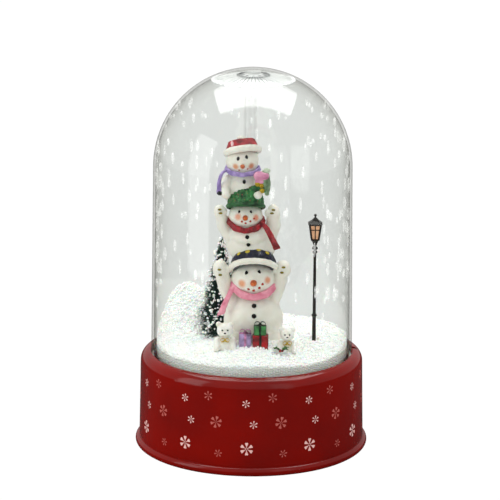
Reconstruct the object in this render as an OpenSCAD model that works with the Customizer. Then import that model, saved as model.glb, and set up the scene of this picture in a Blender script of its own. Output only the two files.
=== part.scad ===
// Table-top snowing snow globe: blower base, clear dome and a tower of snowmen.
// Millimetres, +Z up, origin on the table under the dome's axis, front towards -Y.

/* [Overall] */
// Height from the table to the top of the dome
total_h = 330; // [300:1:400]
// Outer radius of the dome at its foot
dome_foot_r = 86.8; // [84:0.1:108]
// Height of the top face of the red rim
rim_z = 84.4; // [80:0.1:110]

/* [Dome] */
// Wall of the dome
dome_wall = 2.2; // [1.6:0.1:3]
// How much the dome narrows from its foot to the start of its round top
dome_draft = 2; // [0.5:0.1:4]
// Clearance between the dome and the ring around it
dome_gap = 0.35; // [0.3:0.05:0.8]
// Azimuth of the dome's locating key, from +X towards +Y
key_az = 3.7; // [-20:0.1:20]
// Width of the locating key
key_w = 5.2; // [3:0.1:10]
// How far the key stands out of the dome
key_out = 4; // [2:0.1:5]

/* [Base] */
// Wall of the red base shell
shell_wall = 2.6; // [2:0.1:4]
// Radius of the rounded shoulder of the rim
shoulder_r = 8.9; // [8:0.1:12]
// How much wider the wall is at its bottom than at the shoulder
base_flare = 1.4; // [0:0.1:4]
// How far the flange stands out beyond the shoulder radius
flange_out = 4.7; // [3:0.1:8]
// Height of the flange's seat for the base shell
seat_z = 9.1; // [8.5:0.1:14]
// Thickness of the bottom plate
plate_t = 3; // [2.6:0.1:4]
// Height of the bottom plate's underside above the table
plate_z = 1.2; // [0.8:0.1:2]
// Radius of a rubber foot
foot_r = 8; // [5:0.5:9]

/* [Tray] */
// Thickness of the snow tray
tray_t = 2.4; // [2:0.1:3]
// How far the tray's lip stands above the rim
lip_up = 5.8; // [2:0.1:8]
// Thickness of the dome seal
seal_t = 1.8; // [1:0.1:3]
// Depth of the tray's floor below the rim
tray_drop = 8.4; // [8:0.1:12]

/* [Blower] */
// Place of the blower's shaft, left to right
blower_x = 30; // [27:0.5:32]
// Place of the blower's shaft, front to back
blower_y = 38; // [36:0.5:40]
// Inner radius of the blower housing
volute_r = 27; // [25:0.5:29]
// Radius of the impeller
impeller_r = 22; // [15:0.5:22.5]
// Height inside the blower housing
volute_h = 20; // [16:0.5:22]
// Wall of the blower housing
volute_wall = 2; // [1.5:0.1:2.5]
// Radius of the motor's can
motor_r = 12.2; // [10.5:0.1:14]
// Height of the motor's can
motor_h = 24; // [18:0.5:26]
// Radius of the motor shaft
shaft_r = 1; // [0.8:0.1:1.3]
// Running clearance around the shaft
shaft_gap = 0.04; // [0.02:0.01:0.08]
// Outer radius of the riser tube
tube_r = 5.5; // [4.5:0.1:6.5]
// Wall of the riser tube
tube_wall = 1.1; // [0.8:0.1:1.5]

/* [Battery compartment] */
// Length of one cell
cell_l = 50.5; // [44:0.5:52]
// Radius of one cell
cell_r = 7.1; // [5.2:0.1:7.2]
// Wall of the battery box
box_wall = 1.8; // [1.2:0.1:2]
// Clearance around the battery door
door_gap = 0.4; // [0.3:0.05:0.8]

/* [Controls] */
// Azimuth of the slide switch
switch_az = 68; // [62:1:72]
// Travel of the slide switch
switch_travel = 8; // [4:0.5:8]
// Azimuth of the DC inlet
jack_az = 112; // [108:1:116]
// Radius of the DC plug's sleeve
plug_r = 2.75; // [1.5:0.05:3]

/* [Figures] */
// Height of the tip of the top snowman's hat above the tray's floor
tower_h = 195.6; // [190:0.1:200]
// Height of the tree's tip above the tray's floor
tree_h = 104.6; // [90:0.1:125]
// Radius of the tree's widest tier
tree_r = 27; // [20:0.5:28]
// Height of the lamp post above the tray's floor
lamp_h = 132.4; // [120:0.1:160]
// Depth of the loose snow on the tray
snow_h = 17.5; // [15:0.1:19]

/* [Hidden] */
$fn = 96;

eps = 0.01;
// Heights of the stack
tray_z = rim_z - tray_drop;
tray_under = tray_z - tray_t;
dome_foot_z = tray_z + seal_t;
dome_top_r = dome_foot_r - dome_draft;
dome_cap_z = total_h - dome_top_r;
dome_in_foot_r = dome_foot_r - dome_wall;
dome_in_top_r = dome_top_r - dome_wall;
shoulder_z = rim_z - shoulder_r;
// Radii of the base
rim_in_r = dome_foot_r + dome_gap;
skirt_w = 2;
base_r = dome_foot_r + shoulder_r + 0.1;
base_bottom_r = base_r + base_flare;
flange_r = base_r + flange_out;
shell_in_r = base_r - shell_wall;
shell_in_bottom_r = base_bottom_r - shell_wall;
tray_r = shell_in_r - 0.4;
lip_r = dome_in_foot_r - dome_gap;
lip_w = 2;
lip_top = rim_z + lip_up;
snow_r = lip_r - lip_w - 0.3;
plate_top = plate_z + plate_t;
// Screws
screw_r = 1.4;
pilot_gap = 0.05;
head_r = 2.9;
head_t = 2;
boss_r = 4.5;
cover_screw_r = base_r - 8.5;
cover_screw_az = [45, 135, 225, 315];
cover_boss_z = plate_z + 6.6;
cover_boss_top = shoulder_z - 16;
tray_screw_r = rim_in_r + skirt_w + 0.7;
tray_screw_az = [22, 158, 202, 338];
// Blower stack, hung from the tray
inlet_r = 10;
volute_top = tray_under - 7.6;
volute_bottom = volute_top - volute_h - 2 * volute_wall;
volute_out_r = volute_r + volute_wall;
split_z = (volute_top + volute_bottom) / 2;
duct_w = 2 * tube_r + 3;
tube_x = -2.5;
tube_y = blower_y - volute_r + duct_w / 2 - 1;
ear_az = [-60, 0, 120];
ear_r = volute_out_r + 4;
ear_gap = 0.4;
motor_top = volute_bottom;
motor_bottom = motor_top - motor_h;
hub_r = 5;
impeller_z = volute_bottom + volute_wall + 2;
impeller_h = volute_h - 6;
deflector_r = 35.5;
deflector_z = total_h - dome_wall - 8;
tube_top = deflector_z - 17;
// Battery compartment
cell_pitch = 2 * cell_r + 0.8;
bat_x = -4;
bat_y = -40;
bat_in_l = cell_l + 5.6;
bat_in_w = 3 * cell_pitch + 0.8;
cell_z = plate_top + 0.6 + cell_r;
box_top = cell_z + cell_r + 0.6 + box_wall;
door_t = 2;
door_z = plate_z + 0.2;
door_l = bat_in_l + 6;
door_front = bat_y - bat_in_w / 2 - 3;
door_back = bat_y + bat_in_w / 2 + 6;
hinge_r = 0.8;
hinge_z = door_z + door_t / 2;
hinge_y = door_back - door_t / 2;
trunnion_l = 2.2;
// Speaker and board
speaker_r = 20;
speaker_x = -50;
speaker_y = 20;
board_y = base_r - 17;
board_t = 1.6;
board_x0 = -19;
board_x1 = 17;
board_z0 = plate_top + 15;
board_z1 = board_z0 + 30;
control_z = 30;
// Figures
deck = tray_z;
ground_h = 9.5;
ground_r = 60;
snow_top = deck + snow_h;
tower_y = -15;
fig = tower_h - 195.6;

// Solid of revolution from 2D children, kept to the right of the axis
module spin() {
  rotate_extrude() intersection() {
    children();
    translate([0, -500]) square([500, 1500]);
  }
}

module ring(r_in, r_out, z0, z1) {
  translate([0, 0, z0]) difference() {
    cylinder(r = r_out, h = z1 - z0);
    translate([0, 0, -1]) cylinder(r = r_in, h = z1 - z0 + 2);
  }
}

module post(x, y, z0, z1, r) {
  translate([x, y, z0]) cylinder(r = r, h = z1 - z0);
}

module block(x0, x1, y0, y1, z0, z1) {
  translate([x0, y0, z0]) cube([x1 - x0, y1 - y0, z1 - z0]);
}

module around(angles, radius) {
  for (a = angles) rotate([0, 0, a]) translate([radius, 0, 0]) children();
}

module ball(p, r) {
  translate(p) sphere(r);
}

// Straight cone between two points
module limb(p, q, r1, r2) {
  d = q - p;
  len = norm(d);
  translate(p) rotate([0, acos(d[2] / len), atan2(d[1], d[0])]) cylinder(h = len, r1 = r1, r2 = r2);
}

module limb_round(p, q, r1, r2) {
  limb(p, q, r1, r2);
  ball(p, r1 * 1.04);
  ball(q, r2 * 1.04);
}

// Outline of the dome, straight and slightly tapered, with a round top
module dome_outline(foot_r, top_r) {
  polygon([[0, dome_foot_z], [foot_r, dome_foot_z], [top_r, dome_cap_z], [0, dome_cap_z]]);
  intersection() {
    translate([0, dome_cap_z]) circle(top_r);
    translate([0, dome_cap_z]) square([top_r, top_r]);
  }
}

module dome_inside() {
  spin() dome_outline(dome_in_foot_r, dome_in_top_r);
}

// Outline of the red shell: flared wall and quarter-round shoulder
module shell_outline(inset, z0) {
  polygon([
    [0, z0], [base_bottom_r - inset, z0], [base_r - inset, shoulder_z], [0, shoulder_z]
  ]);
  intersection() {
    translate([base_r - shoulder_r, shoulder_z]) circle(shoulder_r - inset);
    translate([base_r - shoulder_r, shoulder_z]) square([shoulder_r, shoulder_r]);
  }
  translate([0, shoulder_z - eps]) square([base_r - shoulder_r, shoulder_r - inset + eps]);
}

module shell_solid() {
  spin() shell_outline(0, seat_z);
}

// Middle of the shell's wall, where the parts inside it end
module shell_core() {
  spin() shell_outline(shell_wall / 2, seat_z + 1);
}

// Pocket that the dome's key drops into
module key_block(extra, z0, z1) {
  rotate([0, 0, key_az])
    block(dome_foot_r - 1.2 - extra, dome_foot_r + key_out + extra,
          -key_w / 2 - extra, key_w / 2 + extra, z0, z1);
}

module base_shell() {
  color("firebrick") difference() {
    union() {
      difference() {
        shell_solid();
        spin() shell_outline(shell_wall, seat_z - 1);
      }
      intersection() {
        shell_core();
        union() {
          ring(rim_in_r, rim_in_r + skirt_w, tray_z, rim_z + 1);
          around(tray_screw_az, tray_screw_r) post(0, 0, tray_z, rim_z - 3, 3);
          key_block(3, tray_z, rim_z);
        }
      }
      around(cover_screw_az, cover_screw_r) {
        post(0, 0, cover_boss_z, cover_boss_top, boss_r);
        block(0, base_r - shell_wall / 2 - cover_screw_r, -1.2, 1.2, seat_z + 8, cover_boss_top);
      }
      control_pad(switch_az, 13);
      control_pad(jack_az, 9);
      board_rails();
    }
    post(0, 0, tray_z - 1, rim_z + 1, rim_in_r);
    key_block(0.45, tray_z + 1.4, rim_z + 1);
    around(tray_screw_az, tray_screw_r) post(0, 0, tray_z - 1, tray_z + 4.5, screw_r + pilot_gap);
    around(cover_screw_az, cover_screw_r)
      post(0, 0, cover_boss_z - 1, cover_boss_z + 16, screw_r + pilot_gap);
    rotate([0, 0, switch_az])
      block(base_r - 20, base_r + 10, -switch_travel / 2 - 3.9, switch_travel / 2 + 3.9,
            control_z - 2.2, control_z + 2.2);
    rotate([0, 0, jack_az]) translate([base_r - 20, 0, control_z]) rotate([0, 90, 0])
      cylinder(r = plug_r + 1.6, h = 40);
  }
}

// Flat pad inside the wall behind a control
module control_pad(az, half_w) {
  intersection() {
    rotate([0, 0, az])
      block(shell_in_r - 2.4, base_r, -half_w, half_w, control_z - 9, control_z + 9);
    shell_core();
  }
}

// Two grooved rails that hold the circuit board
module board_rails() {
  intersection() {
    for (x = [board_x0 - 1.6, board_x1 - 1.2]) difference() {
      block(x, x + 2.8, board_y - 1.8, base_r, board_z0 - 2, board_z1);
      block(board_x0 - 0.2, board_x1 + 0.2, board_y - 0.05, board_y + board_t + 0.05, board_z0, board_z1 + 1);
    }
    shell_core();
  }
}

module bottom_cover() {
  color("firebrick") difference() {
    union() {
      spin() {
        translate([0, plate_z]) square([base_bottom_r, plate_t]);
        translate([base_bottom_r - 7, plate_z]) square([7.3, seat_z - plate_z]);
        translate([flange_r - (seat_z - plate_z - 0.4) / 2, (seat_z + plate_z) / 2])
          circle((seat_z - plate_z - 0.4) / 2);
        translate([shell_in_bottom_r - 3, plate_z]) square([2.6, seat_z - plate_z + 6]);
      }
      around(cover_screw_az, cover_screw_r) post(0, 0, plate_z, cover_boss_z, 6.2);
    }
    around(cover_screw_az, cover_screw_r) {
      post(0, 0, cover_boss_z - eps, seat_z + 20, boss_r + 0.3);
      post(0, 0, 0, cover_boss_z - 2.6, head_r + 0.5);
      post(0, 0, 0, seat_z + 20, screw_r + 0.3);
    }
    around([0, 90, 180, 270], base_r - 16) post(0, 0, 0, plate_z + 1, foot_r + 0.15);
    block(bat_x - bat_in_l / 2, bat_x + bat_in_l / 2,
          bat_y - bat_in_w / 2, bat_y + bat_in_w / 2, 0, 20);
    block(bat_x - door_l / 2 - door_gap, bat_x + door_l / 2 + door_gap,
          door_front - door_gap, door_back + door_gap, 0, door_z + door_t + 0.2);
    translate([bat_x - door_l / 2 - door_gap - trunnion_l, hinge_y, hinge_z]) rotate([0, 90, 0])
      cylinder(r = hinge_r + 0.06, h = door_l + 2 * (door_gap + trunnion_l));
    for (i = [-2:2])
      block(speaker_x - speaker_r * 0.6, speaker_x + speaker_r * 0.6,
            speaker_y + i * 5 - 1.2, speaker_y + i * 5 + 1.2, 0, plate_top + 1);
  }
}

module rubber_feet() {
  color("dimgray") around([0, 90, 180, 270], base_r - 16) post(0, 0, 0, plate_z + 1, foot_r);
}

// Pan-head screw pointing up, its head below z
module screw(z, len) {
  difference() {
    union() {
      post(0, 0, z - head_t, z, head_r);
      post(0, 0, z, z + len, screw_r);
    }
    for (a = [0, 90]) rotate([0, 0, a]) block(-1.9, 1.9, -0.35, 0.35, z - head_t - 1, z - head_t + 0.9);
  }
}

module cover_screws() {
  color("silver") around(cover_screw_az, cover_screw_r) screw(cover_boss_z - 2.6, 17);
}

module tray_screws() {
  color("silver") around(tray_screw_az, tray_screw_r) screw(tray_under, tray_t + 4);
}

module snow_tray() {
  color("whitesmoke") difference() {
    union() {
      post(0, 0, tray_under, tray_z, tray_r);
      ring(lip_r - lip_w, lip_r, tray_z - eps, lip_top);
      translate([blower_x, blower_y, 0]) around(ear_az, ear_r)
        post(0, 0, volute_top - ear_gap, tray_z - 1, boss_r);
    }
    post(blower_x, blower_y, 0, rim_z, inlet_r);
    post(tube_x, tube_y, 0, rim_z, tube_r + 0.3);
    around(tray_screw_az, tray_screw_r) post(0, 0, 0, rim_z, screw_r + 0.3);
    translate([blower_x, blower_y, 0]) around(ear_az, ear_r)
      post(0, 0, 0, tray_z - 1.6, screw_r + pilot_gap);
    around(cover_screw_az, cover_screw_r) post(0, 0, 0, cover_boss_top + 0.5, boss_r + 0.5);
  }
}

module dome_seal() {
  color("gainsboro") ring(lip_r + 0.1, rim_in_r - 0.15, tray_z, dome_foot_z);
}

module dome() {
  color("lightcyan", 0.3) difference() {
    union() {
      spin() dome_outline(dome_foot_r, dome_top_r);
      key_block(0, dome_foot_z + 0.6, rim_z - 1);
    }
    spin() {
      dome_outline(dome_in_foot_r, dome_in_top_r);
      translate([0, dome_foot_z - 1]) square([dome_in_foot_r, 1.1]);
    }
  }
}

// Ribbed disc that spreads the beads, fixed under the top of the dome
module deflector() {
  color("azure", 0.5) intersection() {
    dome_inside();
    difference() {
      union() {
        translate([0, 0, deflector_z]) cylinder(r1 = deflector_r, r2 = 7, h = 4.4);
        post(0, 0, deflector_z - 1, total_h, 6.5);
        for (a = [0:15:345]) rotate([0, 0, a])
          block(12, deflector_r, -0.6, 0.6, deflector_z - 1.2, deflector_z + 1);
      }
      translate([0, 0, deflector_z - 1.6]) cylinder(r1 = deflector_r - 1.4, r2 = 7, h = 4);
    }
  }
}

module riser_tube() {
  color("azure", 0.4) translate([tube_x, tube_y, 0]) ring(tube_r - tube_wall, tube_r, volute_top, tube_top);
}

module volute(inset) {
  post(blower_x, blower_y, volute_bottom + inset, volute_top - inset, volute_out_r - inset);
  block(tube_x - tube_r - 3.5 + inset, blower_x, blower_y - volute_out_r + 0.7 + inset,
        blower_y - volute_out_r + 0.7 + duct_w + 2 * volute_wall - inset,
        volute_bottom + inset, volute_top - inset);
}

module blower_ears(z0, z1) {
  translate([blower_x, blower_y, 0]) around(ear_az, ear_r) post(0, 0, z0, z1, boss_r);
}

module blower_ear_holes() {
  translate([blower_x, blower_y, 0]) around(ear_az, ear_r)
    post(0, 0, 0, rim_z, screw_r + 0.3);
}

module blower_upper_housing() {
  color("darkgray") difference() {
    union() {
      intersection() {
        volute(0);
        block(-100, 100, -100, 100, split_z, rim_z);
      }
      blower_ears(split_z + ear_gap, volute_top - ear_gap);
      translate([blower_x, blower_y, 0]) post(0, 0, volute_top - eps, tray_under, inlet_r + 2);
      translate([tube_x, tube_y, 0]) post(0, 0, volute_top - eps, tray_under, tube_r + 2);
    }
    volute(volute_wall);
    post(blower_x, blower_y, split_z, rim_z, inlet_r);
    post(tube_x, tube_y, volute_top, rim_z, tube_r + 0.05);
    post(tube_x, tube_y, split_z, rim_z, tube_r - tube_wall);
    blower_ear_holes();
  }
}

module blower_lower_housing() {
  color("darkgray") difference() {
    union() {
      intersection() {
        volute(0);
        block(-100, 100, -100, 100, 0, split_z);
      }
      blower_ears(volute_bottom + ear_gap, split_z - ear_gap);
    }
    volute(volute_wall);
    post(blower_x, blower_y, 0, rim_z, 4.1);
    blower_ear_holes();
    for (s = [-1, 1]) post(blower_x + 8 * s, blower_y, 0, rim_z, 1.5);
  }
}

module blower_screws() {
  color("silver") translate([blower_x, blower_y, 0]) around(ear_az, ear_r)
    screw(volute_bottom + ear_gap, tray_z - 2.2 - volute_bottom - ear_gap);
}

module impeller() {
  color("white") translate([blower_x, blower_y, 0]) difference() {
    union() {
      post(0, 0, impeller_z, impeller_z + 1.6, impeller_r);
      post(0, 0, impeller_z, impeller_z + impeller_h, hub_r);
      intersection() {
        ring(hub_r + 3, impeller_r - 0.4, impeller_z + 1, impeller_z + impeller_h);
        for (a = [0:45:315]) rotate([0, 0, a]) translate([impeller_r * 0.62, -impeller_r * 0.6, 0])
          ring(impeller_r * 0.62, impeller_r * 0.62 + 1.2, impeller_z + 1, impeller_z + impeller_h);
      }
    }
    post(0, 0, 0, impeller_z + impeller_h - 1.5, shaft_r);
  }
}

module motor_shaft() {
  color("silver") post(blower_x, blower_y, motor_bottom + 6, impeller_z + impeller_h - 1.5, shaft_r);
}

module motor() {
  color("silver") difference() {
    union() {
      post(blower_x, blower_y, motor_bottom, motor_top, motor_r);
      post(blower_x, blower_y, motor_top - eps, motor_top + 1.6, 4);
    }
    post(blower_x, blower_y, motor_bottom + 5.5, rim_z, shaft_r + shaft_gap);
    for (s = [-1, 1]) post(blower_x + 8 * s, blower_y, motor_top - 4.5, rim_z, 1.25);
  }
}

module motor_end_cap() {
  color("black") {
    post(blower_x, blower_y, motor_bottom - 3, motor_bottom, motor_r - 1);
    for (s = [-1, 1]) translate([blower_x + 7 * s, blower_y, 0]) block(-0.4, 0.4, -1.4, 1.4, motor_bottom - 6.5, motor_bottom - 3);
  }
}

module motor_screws() {
  color("silver") for (s = [-1, 1]) translate([blower_x + 8 * s, blower_y, 0]) {
    post(0, 0, volute_bottom + volute_wall, volute_bottom + volute_wall + 1.2, 2.2);
    post(0, 0, motor_top - 4, volute_bottom + volute_wall, 1.2);
  }
}

module battery_box() {
  color("dimgray") difference() {
    block(bat_x - bat_in_l / 2 - box_wall, bat_x + bat_in_l / 2 + box_wall,
          bat_y - bat_in_w / 2 - box_wall, bat_y + bat_in_w / 2 + box_wall, plate_top, box_top);
    block(bat_x - bat_in_l / 2, bat_x + bat_in_l / 2,
          bat_y - bat_in_w / 2, bat_y + bat_in_w / 2, 0, box_top - box_wall);
  }
}

// One place per cell, every second cell turned round
module each_cell() {
  for (i = [-1:1]) translate([bat_x, bat_y + i * cell_pitch, cell_z])
    rotate([0, 0, i == 0 ? 180 : 0]) children();
}

module batteries() {
  color("goldenrod") each_cell() rotate([0, 90, 0]) {
    translate([0, 0, -cell_l / 2 + 1]) cylinder(r = cell_r, h = cell_l - 2);
    translate([0, 0, cell_l / 2 - 1.01]) cylinder(r = 2.7, h = 1.01);
  }
}

module battery_contacts() {
  color("silver") each_cell() {
    block(bat_in_l / 2 - 0.6, bat_in_l / 2, -5, 5, -5, 5);
    translate([cell_l / 2, 0, 0]) rotate([0, 90, 0])
      cylinder(r1 = 2, r2 = 3.4, h = bat_in_l / 2 - 0.59 - cell_l / 2);
    block(-bat_in_l / 2, -bat_in_l / 2 + 0.6, -5, 5, -5, 5);
  }
}

module battery_springs() {
  turn = (bat_in_l - cell_l) / 2 + 1 - 0.6;
  wire = turn / 6;
  color("silver") each_cell() translate([-bat_in_l / 2 + 0.6, 0, 0]) rotate([0, 90, 0])
    for (k = [0:2]) translate([0, 0, wire + k * wire * 2]) rotate_extrude()
      translate([5 - k, 0]) circle(wire, $fn = 24);
}

module battery_door() {
  color("firebrick") {
    difference() {
      union() {
        block(bat_x - door_l / 2, bat_x + door_l / 2, door_front, hinge_y, door_z, door_z + door_t);
        translate([bat_x - door_l / 2, hinge_y, hinge_z]) rotate([0, 90, 0])
          cylinder(r = door_t / 2, h = door_l);
        translate([bat_x - door_l / 2 - door_gap - trunnion_l + 0.4, hinge_y, hinge_z]) rotate([0, 90, 0])
          cylinder(r = hinge_r, h = door_l + 2 * (door_gap + trunnion_l) - 0.8);
      }
      block(bat_x - 9, bat_x + 9, door_front - 1, door_front + 3, 0, door_z + 1.1);
    }
  }
}

module speaker_basket() {
  color("dimgray") translate([speaker_x, speaker_y, 0]) difference() {
    union() {
      post(0, 0, plate_top, plate_top + 1.6, speaker_r);
      translate([0, 0, plate_top + 1.6]) cylinder(r1 = speaker_r - 2, r2 = 12, h = 7);
      post(0, 0, plate_top + 8, plate_top + 14, 11);
    }
    translate([0, 0, plate_top - eps]) cylinder(r1 = speaker_r - 2.5, r2 = 10, h = 8);
  }
}

module speaker_cone() {
  color("black") translate([speaker_x, speaker_y, plate_top + 0.4]) difference() {
    union() {
      translate([0, 0, 0.6]) cylinder(r1 = speaker_r - 4, r2 = 7, h = 6);
      post(0, 0, 0.6, 7, 6.8);
    }
    translate([0, 0, 0]) cylinder(r1 = speaker_r - 4.2, r2 = 5.6, h = 6);
  }
}

module circuit_board() {
  color("green") block(board_x0, board_x1, board_y, board_y + board_t, board_z0, board_z1);
}

module board_components() {
  y0 = board_y;
  color("black") {
    block(-14, -5, y0 - 2.4, y0, board_z0 + 13, board_z0 + 21);
    block(2, 9, y0 - 1.8, y0, board_z0 + 4, board_z0 + 9);
    for (x = [-12, 12]) translate([x, y0, board_z0 + 6]) rotate([90, 0, 0]) cylinder(r = 3, h = 8);
    for (x = [-17, -4]) block(x, x + 9, y0 - 5, y0, board_z0 + 24, board_z0 + 29);
  }
}

module switch_body() {
  color("silver") rotate([0, 0, switch_az]) difference() {
    block(shell_in_r - 9, shell_in_r - 2.4, -11, 11, control_z - 5, control_z + 5);
    block(shell_in_r - 5, shell_in_r, -switch_travel / 2 - 3.6, switch_travel / 2 + 3.6,
          control_z - 2.1, control_z + 2.1);
  }
}

module switch_knob() {
  y0 = -switch_travel / 2;
  color("black") rotate([0, 0, switch_az]) union() {
    block(shell_in_r - 4.6, base_r + 3.6, y0 - 1.8, y0 + 1.8, control_z - 1.7, control_z + 1.7);
    for (k = [-1, 0, 1])
      block(base_r + 3, base_r + 4.2, y0 + k * 1.3 - 0.3, y0 + k * 1.3 + 0.3,
            control_z - 1.7, control_z + 1.7);
  }
}

module dc_inlet() {
  color("black") rotate([0, 0, jack_az]) difference() {
    union() {
      block(shell_in_r - 15, shell_in_r - 2.4, -6, 6, control_z - 6, control_z + 6);
      translate([shell_in_r - 3, 0, control_z]) rotate([0, 90, 0])
        cylinder(r = plug_r + 1.5, h = base_r + base_flare * 0.5 - shell_in_r + 3);
    }
    translate([shell_in_r - 10, 0, control_z]) rotate([0, 90, 0]) cylinder(r = plug_r, h = 30);
  }
}

module dc_contact() {
  color("silver") rotate([0, 0, jack_az]) translate([shell_in_r - 10, 0, control_z]) rotate([0, 90, 0]) {
    cylinder(r = 1.05, h = 8);
    translate([0, 0, 8]) sphere(1.05);
  }
}

// Cross-section of a lead, square to its route at point i
function along(pts, i) =
  let (a = pts[max(i - 1, 0)], b = pts[min(i + 1, len(pts) - 1)]) (b - a) / norm(b - a);
function side_of(t) = let (c = cross(t, [0.21, 0.13, 0.97])) c / norm(c);
function lead_ring(pts, i, r, n) =
  let (t = along(pts, i), u = side_of(t), v = cross(t, u))
    [for (k = [0:n - 1]) pts[i] + r * (cos(360 * k / n) * u + sin(360 * k / n) * v)];

// Flexible lead swept along hand-chosen points
module lead(pts, r, n = 6) {
  m = len(pts);
  polyhedron(
    points = [for (i = [0:m - 1]) each lead_ring(pts, i, r, n)],
    faces = concat(
      [[for (k = [0:n - 1]) k]],
      [for (i = [0:m - 2], k = [0:n - 1])
        [i * n + k, (i + 1) * n + k, (i + 1) * n + (k + 1) % n, i * n + (k + 1) % n]],
      [[for (k = [n - 1:-1:0]) (m - 1) * n + k]]
    )
  );
}

module wiring() {
  lead_r = 0.7;
  box_side = bat_x - bat_in_l / 2 - box_wall;
  plug_y = board_y - 5;
  plug_z = board_z0 + 26.5;
  color("crimson") {
    lead([[box_side, bat_y, box_top - 4], [box_side - 4, bat_y + 2, box_top - 3], [-37, -20, 26],
          [-27, 0, 31], [-23, 22, 36], [-24, 46, 41], [-19, 62, 41.5],
          [-15, plug_y - 4, plug_z], [-15, plug_y, plug_z]], lead_r);
    lead([[speaker_x, speaker_y, plate_top + 14], [speaker_x, speaker_y + 1, plate_top + 18],
          [-46, 34, 27], [-34, 52, 26], [-17, 66, 29],
          [-11, plug_y - 4, plug_z], [-11, plug_y, plug_z]], lead_r);
    lead([[blower_x - 7.4, blower_y, motor_bottom - 5], [blower_x - 14, blower_y + 1, motor_bottom - 5],
          [6, 46, 14], [2, 60, 22], [1, plug_y - 4, plug_z], [1, plug_y, plug_z]], lead_r);
  }
}

// Moulded white ground that carries the figures
module resin_ground() {
  color("white") difference() {
    post(0, 0, deck, deck + ground_h, ground_r);
    translate([blower_x, blower_y, deck - eps]) cylinder(r1 = inlet_r, r2 = inlet_r + 5, h = ground_h + 1);
    post(tube_x, tube_y, 0, rim_z + 20, tube_r + 0.3);
    post(tree_x, tree_y, 0, rim_z + 20, 4);
    post(lamp_x, lamp_y, 0, rim_z + 20, lamp_foot_r + 0.4);
  }
}

module snow_bed() {
  color("white") difference() {
    intersection() {
      union() {
        post(0, 0, deck, snow_top, snow_r);
        ball([-70, 46, deck + 4], 46);
      }
      post(0, 0, deck, deck + 60, snow_r);
    }
    post(0, 0, deck - 1, deck + ground_h, ground_r + eps);
    post(blower_x, blower_y, deck, snow_top + 1, inlet_r + 6);
    post(tube_x, tube_y, deck, rim_z + 80, tube_r + 0.4);
    post(bottom_x, tower_y, deck, snow_top + 20, bottom_r + 0.3);
    tree_cones(0.5);
    post(tree_x, tree_y, deck, rim_z + 80, 4);
    post(lamp_x, lamp_y, deck, snow_top + 1, lamp_foot_r + 0.4);
    block(-12, 15, gift_y - 6, tower_y, deck + 5, snow_top + 20);
    for (b = bears) post(b[0], b[1], deck, snow_top + 20, 9.2);
    block(16.5, 32.5, -59, -51, deck, snow_top + 20);
  }
}

// Bottom snowman
bottom_x = 1.2;
bottom_r = 24.4;
bottom_body_z = deck + 40;
bottom_head_z = deck + 75.5;
bottom_head_r = 18.4;
hat_bottom_r = 20.4;
hat_bottom_z = deck + 81;

module bottom_core_outline() {
  translate([0, deck + ground_h]) square([bottom_r, bottom_body_z - deck - ground_h]);
  translate([0, bottom_body_z]) circle(bottom_r);
  translate([0, bottom_head_z]) circle(bottom_head_r);
}

module bottom_core() {
  translate([bottom_x, tower_y, 0]) spin() bottom_core_outline();
}

module snowman_bottom() {
  color("ivory") {
    bottom_core();
    for (s = [-1, 1]) {
      limb_round([bottom_x + 24 * s, tower_y, deck + 50], [bottom_x + 29 * s, tower_y - 2, deck + 69], 6.6, 6);
      limb_round([bottom_x + 29 * s, tower_y - 2, deck + 69], [bottom_x + 28 * s, tower_y - 3, deck + 85], 6, 5.6);
    }
  }
}

module hat_bottom_outline() {
  intersection() {
    translate([0, hat_bottom_z]) circle(hat_bottom_r);
    translate([0, hat_bottom_z + 3]) square([40, 40]);
  }
  translate([0, hat_bottom_z + 1]) square([hat_bottom_r + 0.6, 4.6]);
}

module hat_bottom() {
  color("midnightblue") translate([bottom_x, tower_y, 0]) spin() difference() {
    hat_bottom_outline();
    bottom_core_outline();
  }
}

// All that the middle snowman stands on
module bottom_stack() {
  translate([bottom_x, tower_y, 0]) spin() {
    hat_bottom_outline();
    bottom_core_outline();
  }
}

module scarf_bottom() {
  color("pink") difference() {
    union() {
      translate([bottom_x, tower_y, 0]) spin() translate([0, deck + 57]) square([18.8, 6.6]);
      limb_round([bottom_x - 11, tower_y - 16, deck + 59], [bottom_x - 20, tower_y - 21, deck + 42], 3.8, 4.4);
    }
    bottom_core();
  }
}

// Middle snowman
middle_x = -0.8;
middle_r = 21.6;
middle_y = tower_y + 3;
middle_z = deck + 103;
middle_head = [-6, tower_y, deck + 130];
middle_head_r = 14;
hat_middle_r = 15.4;
hat_middle_z = middle_head[2] + 4.5;

module middle_core() {
  post(middle_x, middle_y, deck + 93, middle_z, middle_r);
  ball([middle_x, middle_y, middle_z], middle_r);
  ball(middle_head, middle_head_r);
}

module middle_arms() {
  limb_round([middle_x - 20, middle_y, deck + 110], [middle_x - 26, tower_y, deck + 132], 5.2, 4.8);
  limb_round([middle_x + 19, middle_y, deck + 110], [middle_x + 19, tower_y, deck + 132], 5.2, 4.8);
}

module snowman_middle() {
  color("ivory") difference() {
    union() {
      middle_core();
      middle_arms();
    }
    bottom_stack();
  }
}

module hat_middle_outline(grow = 0) {
  intersection() {
    translate([0, hat_middle_z]) circle(hat_middle_r + grow);
    translate([0, hat_middle_z + 2]) square([40, 40]);
  }
  translate([0, hat_middle_z - grow]) square([hat_middle_r + 0.5 + grow, 4 + 2 * grow]);
}

module hat_middle() {
  color("seagreen") {
    translate([middle_head[0], middle_head[1], 0]) spin() difference() {
      hat_middle_outline();
      translate([0, middle_head[2]]) circle(middle_head_r);
    }
    limb_round([9.5, tower_y - 1, deck + 138.5], [13.5, tower_y - 3, deck + 141.3], 2.8, 2.2);
  }
}

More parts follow.
